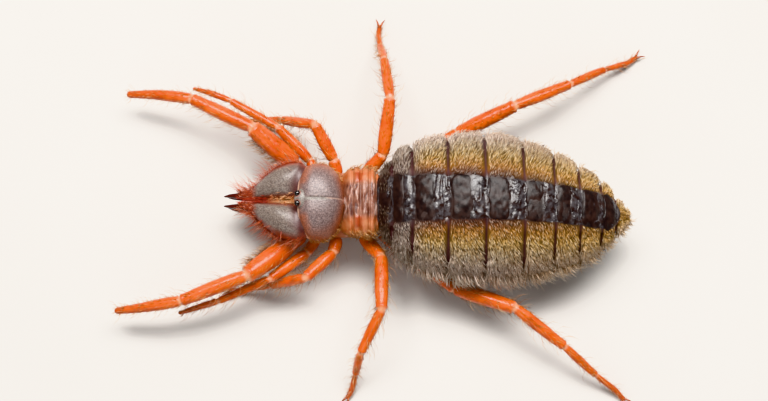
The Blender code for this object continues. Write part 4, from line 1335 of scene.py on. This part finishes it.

# %% [markdown]
# The flesh is soft and lets some light through, so it has a little subsurface scattering. Brown
# on the back and warm on the flanks, it has a painted highlight on the crests of its folds and
# painted shade in the creases.

# %% Flesh finish
flesh_finish, tree, shader, place = new_finish("rosy_flesh", 0.38, Subsurface_Weight=0.18,
                                               Subsurface_Scale=0.0005, Subsurface_Radius=(1.0, 0.4, 0.25))
uneven = use(tree, BLOTCH, place, size=0.8)
brown = mix(tree, uneven, colour(0.15, 0.055, 0.035), colour(0.25, 0.12, 0.085))
warm = mix(tree, uneven, colour(0.36, 0.095, 0.030), colour(0.42, 0.17, 0.085))
rosy = mix(tree, field(tree, "side"), brown, warm)
crest_highlight = mix(tree, number(tree, "MULTIPLY", field(tree, "crest"), 0.8), rosy, colour(0.62, 0.44, 0.38))
crease_shade = mix(tree, number(tree, "MULTIPLY", field(tree, "crease"), 0.9), crest_highlight, colour(0.08, 0.030, 0.025))
feed(tree, shader, Base_Color=mix(tree, field(tree, "plate"), crease_shade, colour(0.26, 0.045, 0.014)))
bump(tree, shader, use(tree, GRAIN, place, size=0.22), 0.05)
new_piece("waist_flesh", together([loft(waist_rings), loft(breast_rings)]), flesh_finish,
          ("crest", "crease", "plate", "side"), hides=("waist", "hip_plate"))

# %% [markdown]
# The limbs are measured from their solids, so the skins can't drift away from them. The two
# farthest points of a slender node are its tips; halfway between one node's end and the next
# one's start lies their joint. A cut square to the limb gives its middle and its radius.

# %% Measuring helpers
def corners(node):
    """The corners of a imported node, in the body's own frame."""
    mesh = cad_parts[node].data
    places = np.empty(len(mesh.vertices) * 3)
    mesh.vertices.foreach_get("co", places)
    return places.reshape(-1, 3) / MM - SHIFT


def farthest(points, place):
    """The point that lies farthest from a place."""
    return points[np.argmax(np.linalg.norm(points - place, axis=1))]


def nearest(points, place):
    """The point that lies nearest to a place."""
    return points[np.argmin(np.linalg.norm(points - place, axis=1))]


def tips(points):
    """The two ends of a slender node."""
    first = farthest(points, farthest(points, points.mean(0)))
    return first, farthest(points, first)


def cut(node, origin, way):
    """Middle and radius of a round node where a plane through origin square to way cuts it."""
    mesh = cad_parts[node].data
    ends = np.empty(len(mesh.edges) * 2, np.int32)
    mesh.edges.foreach_get("vertices", ends)
    places = corners(node)
    a, b = places[ends[0::2]], places[ends[1::2]]
    da, db = (a - origin) @ way, (b - origin) @ way
    crossed = (da < 0) != (db < 0)
    share = (da / np.where(crossed, da - db, 1))[crossed, None]
    rim = a[crossed] + share * (b[crossed] - a[crossed])
    across = unit(np.cross(way, (0, 0, 1)))
    up = np.cross(across, way)
    sideways, height = (rim - origin) @ across, (rim - origin) @ up
    radius = (sideways.max() - sideways.min()) / 2
    middle = origin + across * (sideways.max() + sideways.min()) / 2 + up * (height.max() - radius)
    return middle, radius


print("measuring helpers ready")

# %% [markdown]
# Each limb has four segments: coxa, femur, tibia and foot. The foot bends along its length, so it
# is cut in six places. The skin of a walking foot ends short of its solid, to leave room for the
# claws.

# %% Measuring the limbs
CLAW_LENGTH = 1.1
CLAW_ROOM = 0.85
FOOT_CUTS = (0.10, 0.26, 0.42, 0.56, 0.70, 0.84)
WALKING = ("leg_2", "leg_3", "leg_4")
SEGMENTS = ("coxa", "femur", "tibia", "foot")


def measure(limb, word):
    """The joints of one limb and the radius of each segment."""
    nodes = [f"{limb}_{word}_{part}" for part in SEGMENTS]
    coxa, femur, tibia, foot = (corners(node) for node in nodes)
    near_coxa = coxa.mean(0)
    femur_ends = sorted(tips(femur), key=lambda end: np.linalg.norm(end - near_coxa))
    tibia_ends = sorted(tips(tibia), key=lambda end: np.linalg.norm(end - femur_ends[1]))
    hip = (femur_ends[0] + nearest(coxa, femur_ends[0])) / 2
    root = farthest(coxa, hip)
    knee = (femur_ends[1] + tibia_ends[0]) / 2
    ankle = (tibia_ends[1] + nearest(foot, tibia_ends[1])) / 2
    toe = farthest(foot, ankle)
    if limb in WALKING:
        toe = toe + unit(ankle - toe) * CLAW_LENGTH * CLAW_ROOM
    way = unit(toe - ankle)
    bends, foot_widths = [ankle], []
    for share in FOOT_CUTS:
        middle, radius = cut(nodes[3], ankle + share * (toe - ankle), way)
        bends.append(middle)
        foot_widths.append(radius)
    if limb in WALKING:
        toe[2] = bends[-1][2] + (bends[-1][2] - bends[-2][2])
    bones = [(root, hip), (hip, knee), (knee, ankle)]
    widths = [cut(node, (a + b) / 2, unit(b - a))[1] for node, (a, b) in zip(nodes, bones)]
    return {"joints": [root, hip, knee], "foot": bends + [toe], "widths": widths, "foot_widths": foot_widths}


LIMBS = {f"{limb}_{word}": measure(limb, word)
         for limb in ("pedipalp", "leg_1") + WALKING for word, _ in SIDES}
print("femur radii:", {name: round(limb["widths"][1], 2) for name, limb in LIMBS.items()})

# %% [markdown]
# One continuous skin clothes each limb from the hip to the toe, so no seam shows. First a centre
# line is led through the joints with its corners rounded, and every short step along it gets a
# radius: the limb swells along each segment, ends in a low rim, and sinks in at each joint.

# %% Limb lines
LINE_STEP = 0.07
BEND_WINDOW = 9
ANKLE_SHARE = 0.52
SEGMENT_ENDS, SEGMENT_SWELL = 0.80, 0.23
JOINT_PINCH = 0.15
RIM_HEIGHT = 0.06
RIM_SETBACK = 0.32
SOFT_RING_WIDTH = 0.17
PALP_TAPER = 0.30


def soften(column, window):
    """A column with its corners rounded over a window of steps."""
    kernel = np.hanning(window + 2)[1:-1]
    padded = np.pad(column, window // 2, mode="reflect", reflect_type="odd")
    return np.convolve(padded, kernel / kernel.sum(), "valid")


def limb_line(limb, walks):
    """Centres, radii and markings along one limb, a short step apart."""
    path = limb["joints"] + limb["foot"]
    lengths = [0.0]
    for a, b in zip(path, path[1:]):
        lengths.append(lengths[-1] + np.linalg.norm(b - a))
    total = lengths[-1]
    along = np.arange(0, total, LINE_STEP)
    line = [np.interp(along, lengths, [point[k] for point in path]) for k in range(3)]
    line = np.column_stack([soften(column, BEND_WINDOW) for column in line])
    ankle = lengths[3] + ANKLE_SHARE * (total - lengths[3])
    joints = np.array(lengths[1:4] + [ankle] * walks)
    starts, ends = np.array([0.0, *joints]), np.array([*joints, total])
    segment = np.searchsorted(joints, along, side="right")
    share = (along - starts[segment]) / (ends[segment] - starts[segment])
    shank, toe = limb["foot_widths"][1], limb["foot_widths"][4]
    radius = np.array([*limb["widths"], shank, toe])[segment]
    swell = SEGMENT_ENDS + SEGMENT_SWELL * np.sin(math.pi * share ** 0.75) ** 0.9
    radius = soften(radius * swell, BEND_WINDOW)
    gap = np.min(np.abs(along[:, None] - joints), 1)
    before = np.min(np.where(joints >= along[:, None], joints - along[:, None], 9), 1)
    radius = radius * (1 - JOINT_PINCH * peak(gap, 0.13) + RIM_HEIGHT * peak(before - RIM_SETBACK, 0.15))
    radius = radius * (1 - PALP_TAPER * (not walks) * step(along, lengths[3], total))
    close = np.clip((total - along) / (0.9 * toe), 0, 1)
    radius = radius * np.sqrt(np.clip(1 - (1 - close) ** 2, 0.01, 1))
    return {
        "along": along, "line": line, "radius": radius, "joint": peak(gap, SOFT_RING_WIDTH),
        "toe": step(along, lengths[3] * 0.9, total), "total": total, "joints": joints,
    }


def along_limb(made, table, distance):
    """The rows of a table of one limb's line, read at any distance along it."""
    return np.stack([np.interp(distance, made["along"], column) for column in table.T], -1)


LINES = {name: limb_line(limb, name.startswith(WALKING)) for name, limb in LIMBS.items()}
print("limb lengths:", {name: round(made["total"], 1) for name, made in LINES.items()})

# %% [markdown]
# Around the line lies the surface, a touch higher than wide, with very fine ridges. It is kept as
# a function of the distance and the angle, because the skin, the hairs, the claws and the racquet
# organs all need places on it. A skinned row of bones could give such a tube too, but would not
# say where a hair's root is.

# %% Limb surfaces
LIMB_HEIGHT = 1.04
RIDGES = ((0.02, 0.8), (0.012, 0.3))


def limb_point(made):
    """The surface of one limb as a function of the distance along it and the angle round it."""
    way = unit(np.gradient(made["line"], axis=0))
    across = unit(np.cross(way, (0, 0, 1)))
    up = np.cross(across, way)

    def point(distance, angle):
        distance, angle = np.broadcast_arrays(np.asarray(distance, float), np.asarray(angle, float))
        centre, side, top = (along_limb(made, table, distance) for table in (made["line"], across, up))
        radius = np.interp(distance, made["along"], made["radius"])[..., None]
        sine, cosine = np.sin(angle)[..., None], np.cos(angle)[..., None]
        points = centre + radius * (sine * side + LIMB_HEIGHT * cosine * top)
        ridge = sum(height * lumps(points, size) for height, size in RIDGES)
        points = points + unit(points - centre) * ridge[..., None]
        points[..., 2] = np.maximum(points[..., 2], 0.0)
        return points
    return point


SURFACES = {name: (limb_point(made), made) for name, made in LINES.items()}
print("limb surfaces:", len(SURFACES))

# %% [markdown]
# The limbs are amber, glossy and a little translucent, paler in the soft ring at each joint and
# browner towards the toes. One finish serves all ten, because the markings are in the mesh.

# %% Limb skins
LIMB_COLUMNS = 40
amber_finish, tree, shader, place = new_finish(
    "amber_cuticle", 0.30, Subsurface_Weight=0.15, Subsurface_Scale=0.0004,
    Subsurface_Radius=(1.0, 0.40, 0.06), Specular_IOR_Level=0.36, Coat_Weight=0.25, Coat_Roughness=0.12)
amber = mottled(tree, place, 1.6, (0.46, 0.065, 0.003), (0.61, 0.110, 0.005))
ringed = mix(tree, number(tree, "MULTIPLY", field(tree, "joint"), 0.8), amber, colour(0.74, 0.38, 0.22))
toe_dark = number(tree, "MULTIPLY", field(tree, "toe"), 0.62)
feed(tree, shader, Base_Color=mix(tree, toe_dark, ringed, colour(0.34, 0.060, 0.016)),
     Roughness=graded(tree, 0.22, use(tree, GRAIN, place, size=0.3), 0.16))
bump(tree, shader, use(tree, GRAIN, place, size=0.14), 0.014)
angles = np.linspace(-math.pi, math.pi, LIMB_COLUMNS, endpoint=False)
for name, (surface, made) in SURFACES.items():
    rings = []
    for distance, joint, toe in zip(made["along"], made["joint"], made["toe"]):
        points = surface(np.full_like(angles, distance), angles)
        rings.append(with_fields(points, joint, toe))
    hides = [f"{name}_{part}" for part in SEGMENTS]
    new_piece(f"{name}_skin", loft(rings), amber_finish, ("joint", "toe"), hides=hides)

# %% [markdown]
# Each walking foot ends in two curved claws. They arch forward from the toe and come down to the
# floor, so the animal stands on their points. A tapering loft along a curve makes each one, and
# they stay a piece of their own because they are horn.

# %% Claws
CLAW_TURNS = (math.radians(27), math.radians(-21))
CLAW_ARCH = 0.30
CLAW_RADIUS = 0.13
CLAW_TIP_RADIUS = 0.015
CLAW_REST = 0.10


def claw_shell(toe, heading):
    """One claw that arches from the toe towards its heading and comes down to the floor."""
    way = np.array((math.cos(heading), math.sin(heading), 0.0))
    aside = np.array((-way[1], way[0], 0.0))
    around = np.linspace(0, 2 * math.pi, 10, endpoint=False)[:, None]
    rows = []
    for share in np.linspace(0, 1, 16):
        arch = CLAW_ARCH * math.sin(math.pi * min(1.0, share * 1.02))
        height = max(toe[2] + 0.12 + arch - share ** 2 * toe[2], CLAW_REST)
        centre = np.array((*(toe[:2] + way[:2] * (CLAW_LENGTH + 0.25) * share), height))
        thick = CLAW_RADIUS * (1 - share) ** 0.6 + CLAW_TIP_RADIUS
        rows.append(centre + thick * (np.cos(around) * aside + np.sin(around) * (0, 0, 1)))
    return loft(rows)


claws = []
for name, made in LINES.items():
    if name.startswith(WALKING):
        toe = made["line"][-6]
        ahead = unit(made["line"][-1] - made["line"][-20])
        claws += [claw_shell(toe, math.atan2(ahead[1], ahead[0]) + turn) for turn in CLAW_TURNS]
claw_finish = mottled_finish("claw_horn", 0.25, 0.6, (0.16, 0.03, 0.01), (0.34, 0.08, 0.02),
                             grain=0.1, depth=0.006, Coat_Weight=0.3, Coat_Roughness=0.1)
new_piece("claws", together(claws), claw_finish)
print("claws on", len(claws) // len(CLAW_TURNS), "feet")

# %% [markdown]
# Five racquet organs hang under each hind hip, as all camel spiders have. Each is a thin cream
# fan on a stalk, edge on to the way the animal walks. Its width follows a smooth step from stalk
# to fan and closes in a round edge.

# %% Racquets
RACQUET_SHARES = (0.16, 0.28, 0.40, 0.52, 0.64)
RACQUET_DROP = 2.0
RACQUET_SINK = 0.35
RACQUET_HALF_WIDTH = 0.75
STALK_SHARE = 0.12


def racquet_shell(root, way):
    """One racquet organ that hangs from a root, square to the way of its hip."""
    across = np.array((-way[1], way[0], 0.0))
    turn = np.linspace(0, 2 * math.pi, 24, endpoint=False)
    rows = []
    for drop in np.linspace(0, 1, 22):
        fan = STALK_SHARE + (1 - STALK_SHARE) * step(drop, 0.35, 0.95)
        fan *= math.sqrt(max(0.02, 1 - max(0.0, (drop - 0.86) / 0.14) ** 2))
        thick = 0.11 + 0.05 * (1 - drop)
        centre = root + (0, 0, RACQUET_SINK - RACQUET_DROP * drop)
        rows.append(centre + np.outer(np.cos(turn) * RACQUET_HALF_WIDTH * fan, across)
                    + np.outer(np.sin(turn) * thick, way))
    return loft(rows)


racquets = []
for word, _ in SIDES:
    surface, made = SURFACES[f"leg_4_{word}"]
    for share in RACQUET_SHARES:
        root, _, way, _ = on_surface(surface, np.array([share * made["joints"][0]]), np.array([math.pi]))
        racquets.append(racquet_shell(root[0], unit(way[0] * (1, 1, 0))))
cream_finish = mottled_finish("racquet_cream", 0.5, 0.5, (0.62, 0.36, 0.18), (0.78, 0.58, 0.38),
                              grain=0.12, depth=0.01, Subsurface_Weight=0.2, Subsurface_Scale=0.0004)
new_piece("racquets", together(racquets), cream_finish)
print("racquets a side:", len(RACQUET_SHARES))

# %% [markdown]
# The limbs wear a fine golden down everywhere, and long stiff hairs, most of them under the
# limbs, where they show against the floor. The femora of the pedipalps have thick spines besides,
# on the side that faces the pincers. All are blades of the same kind, so one finish serves them.

# %% Limb hairs
LIMB_HAIRS = (
    # hairs per mm, shortest and longest, width, least and greatest angle to the skin, all round?
    (34, (0.35, 0.85), 0.042, (30, 55), True),
    (6.0, (1.1, 2.3), 0.055, (50, 80), False),
)
SPINES = 170
SPINE_SHARES = (0.25, 0.85)
SPINE_WIDTH = 0.065
NEAR_FLOOR = 0.05


def limb_roots(name, distance, angle):
    """Roots on a limb, the way straight out, the way along it, and their places on the bake map."""
    surface, made = SURFACES[name]
    roots, _, along, _ = on_surface(surface, distance, angle)
    out = unit(roots - along_limb(made, made["line"], distance))
    place = np.column_stack([distance / made["total"], (angle + math.pi) / (2 * math.pi) % 1.0])
    return roots, out, along, place


def limb_coat(name, per_mm, lengths, width, angles, all_round):
    """One kind of hair over a whole limb, without those that would lie on the floor."""
    total = LINES[name]["total"]
    count = int(per_mm * total)
    distance = draw.uniform(0.8, total - 0.1, count)
    angle = draw.uniform(-math.pi, math.pi, count)
    if not all_round:
        angle = math.pi + draw.normal(0, 1.15, count)
    roots, out, along, place = limb_roots(name, distance, angle)
    lie = along + draw.normal(0, 0.25, (count, 3))
    length = draw.uniform(*lengths, count) * np.where(distance > total * 0.7, 0.7, 1.0)
    leave = np.radians(draw.uniform(*angles, count))
    keep = roots[:, 2] + out[:, 2] * length * 0.7 >= NEAR_FLOOR
    roots, out, lie, length, leave = roots[keep], out[keep], lie[keep], length[keep], leave[keep]
    return hairs(roots, out, lie, length, width, leave, leave * 0.6, (), place[keep])


def femur_spines(name):
    """Thick spines on the inner side of a pedipalp's femur."""
    inner = -math.pi / 2 if name.endswith("right") else math.pi / 2
    hip, knee = LINES[name]["joints"][:2]
    first, last = (hip + share * (knee - hip) for share in SPINE_SHARES)
    distance = draw.uniform(first, last, SPINES)
    angle = draw.normal(inner * 1.15, 0.30, SPINES)
    roots, out, along, place = limb_roots(name, distance, angle)
    return grown(roots, out, along, (55, 85), (0.5, 1.3), SPINE_WIDTH, 0.8, place)


hair_finish, tree, shader, _ = new_finish("golden_hair", 0.4)
gold = ramp(tree, field(tree, "draw"), (0.0, colour(0.18, 0.05, 0.012)), (0.5, colour(0.44, 0.19, 0.055)),
            (1.0, colour(0.80, 0.55, 0.30)))
dark_root = mix(tree, 0.5, gold, colour(0.30, 0.10, 0.02))
feed(tree, shader, Base_Color=mix(tree, field(tree, "along"), dark_root, gold))
for name in LIMBS:
    batches = [limb_coat(name, *kind) for kind in LIMB_HAIRS]
    if name.startswith("pedipalp"):
        batches.append(femur_spines(name))
    new_hairs(f"{name}_hairs", batches, hair_finish)
print("limb hair triangles:", sum(count for name, count in TOTALS.items() if name.endswith("_hairs")))

# %% [markdown]
# Golden hairs fringe the shield's hind and lower edges and hang down the sides of the waist. They
# use the same blades and the same finish as the limbs, and only their places are new.

# %% Head hairs
SHIELD_HAIRS = 1000
WAIST_HAIRS = 260
angle = draw.uniform(0, 2 * math.pi, SHIELD_HAIRS)
turn = draw.uniform(0.86, 1.2, SHIELD_HAIRS)
keep = (np.cos(angle) > -0.35) | (draw.random(SHIELD_HAIRS) < 0.15)
angle, turn = angle[keep], turn[keep]
roots, _, down, _ = on_surface(shield_point, turn, angle)
out = unit((roots - (SHIELD_CENTRE[0], 0, 7.0)) * (1, 0.6, 1))
lie = down * 0.5 + np.array((1.0, 0, -0.2)) + draw.normal(0, 0.3, (len(turn), 3))
bake_place = np.column_stack([angle / (2 * math.pi), turn / SHIELD_END_TURN])
batches = [grown(roots, out, lie, (25, 60), (0.3, 0.8), 0.045, 0.6, bake_place)]
for _, side in SIDES:
    x = draw.uniform(-5.0, -0.7, WAIST_HAIRS)
    angle = side * draw.uniform(0.95, 1.9, WAIST_HAIRS)
    roots = waist_point(x, angle)
    out = unit((roots - (0, 0, 7.0)) * (0, 1, 1))
    lie = np.array((0.6, side * 0.8, -0.5)) + draw.normal(0, 0.3, (WAIST_HAIRS, 3))
    bake_place = np.column_stack([-x / 6, (angle + math.pi) / (2 * math.pi)])
    batches.append(grown(roots, out, lie, (20, 60), (0.4, 1.3), 0.05, 0.5, bake_place))
new_hairs("head_hairs", batches, hair_finish)

# %% [markdown]
# The pincers wear four kinds of hair. A fringe along each flank, long whiskers among it and short
# hairs on the snout are red at the root and end in red, orange or cream. Dense brushes stand on
# the inner sides, dark red in front and cream before the eyes.

# %% Pincer hairs
PINCER_HAIRS = (
    # kind, hairs, shortest and longest, width, from and to along x, how angles are drawn, from what
    ("flank", 620, (0.35, 1.0), 0.05, (-16.2, -8.8), draw.normal, (math.pi / 2 + 0.35, 0.40)),
    ("whisker", 130, (1.3, 2.5), 0.065, (-16.2, -8.8), draw.normal, (math.pi / 2 + 0.35, 0.40)),
    ("snout", 150, (0.25, 0.6), 0.04, (-16.1, -14.1), draw.uniform, (-1.3, 1.6)),
    ("brush", 620, (0.30, 0.7), 0.05, (-16.2, -8.8), draw.normal, (-math.pi / 2 + 0.12, 0.24)),
)
BRUSH_RISE = 1.3
brushes, fringe = [], []
for _, side in SIDES:
    for kind, count, lengths, width, ends, spread, angles in PINCER_HAIRS:
        x = draw.uniform(*ends, count)
        angle = spread(*angles, count)
        roots = pincer_point(side)(x, angle)
        inner, outer, top, bottom = section(PINCER_STATIONS, x)
        middle = np.stack([x, side * (inner + outer) / 2, (top + bottom) / 2], -1)
        out = unit(roots - middle)
        if kind == "brush":
            out = unit(out + (0, 0, BRUSH_RISE))
        lie = np.array((-1.0, 0, 0.1)) + draw.normal(0, 0.35, (count, 3))
        bake_place = np.column_stack([(x + 18) / 10, (angle % (2 * math.pi)) / (2 * math.pi)])
        made = grown(roots, out, lie, (35, 75), lengths, width, 0.7, bake_place)
        (brushes if kind == "brush" else fringe).append(made)
print("pincer hairs a side:", sum(count for _, count, *_ in PINCER_HAIRS))

# %% [markdown]
# The brushes change colour along the head, so their finish reads the place itself: red in front,
# and more and more cream towards the eyes. The fringe changes along each hair instead.

# %% Pincer hair finishes
BRUSH_CHANGE = (-13.2, -11.6)
fringe_finish, tree, shader, _ = new_finish("pink_fringe", 0.4)
tip = ramp(tree, field(tree, "draw"), (0.0, colour(0.46, 0.06, 0.02)), (0.5, colour(0.70, 0.22, 0.07)),
           (1.0, colour(0.92, 0.66, 0.50)))
feed(tree, shader, Base_Color=mix(tree, field(tree, "along"), colour(0.34, 0.020, 0.008), tip))
new_hairs("pincer_fringe", fringe, fringe_finish)
brush_finish, tree, shader, place = new_finish("red_brush", 0.45)
ahead = put(tree, "ShaderNodeSeparateXYZ", {0: place}).outputs["X"]
near_eyes = remap(tree, ahead, *BRUSH_CHANGE)
tone = mix(tree, near_eyes, colour(0.36, 0.014, 0.008), colour(0.70, 0.25, 0.085))
light = number(tree, "MULTIPLY", field(tree, "draw"), graded(tree, 0.12, near_eyes, 0.75))
feed(tree, shader, Base_Color=mix(tree, light, tone, colour(0.86, 0.60, 0.36)))
new_hairs("pincer_brushes", brushes, brush_finish)

# %% [markdown]
# Last, the triangles of the dressed model are counted, and the largest pieces are listed.

# %% Totals
print("triangles:", sum(TOTALS.values()), "largest:", sorted(TOTALS.items(), key=lambda item: -item[1])[:5])
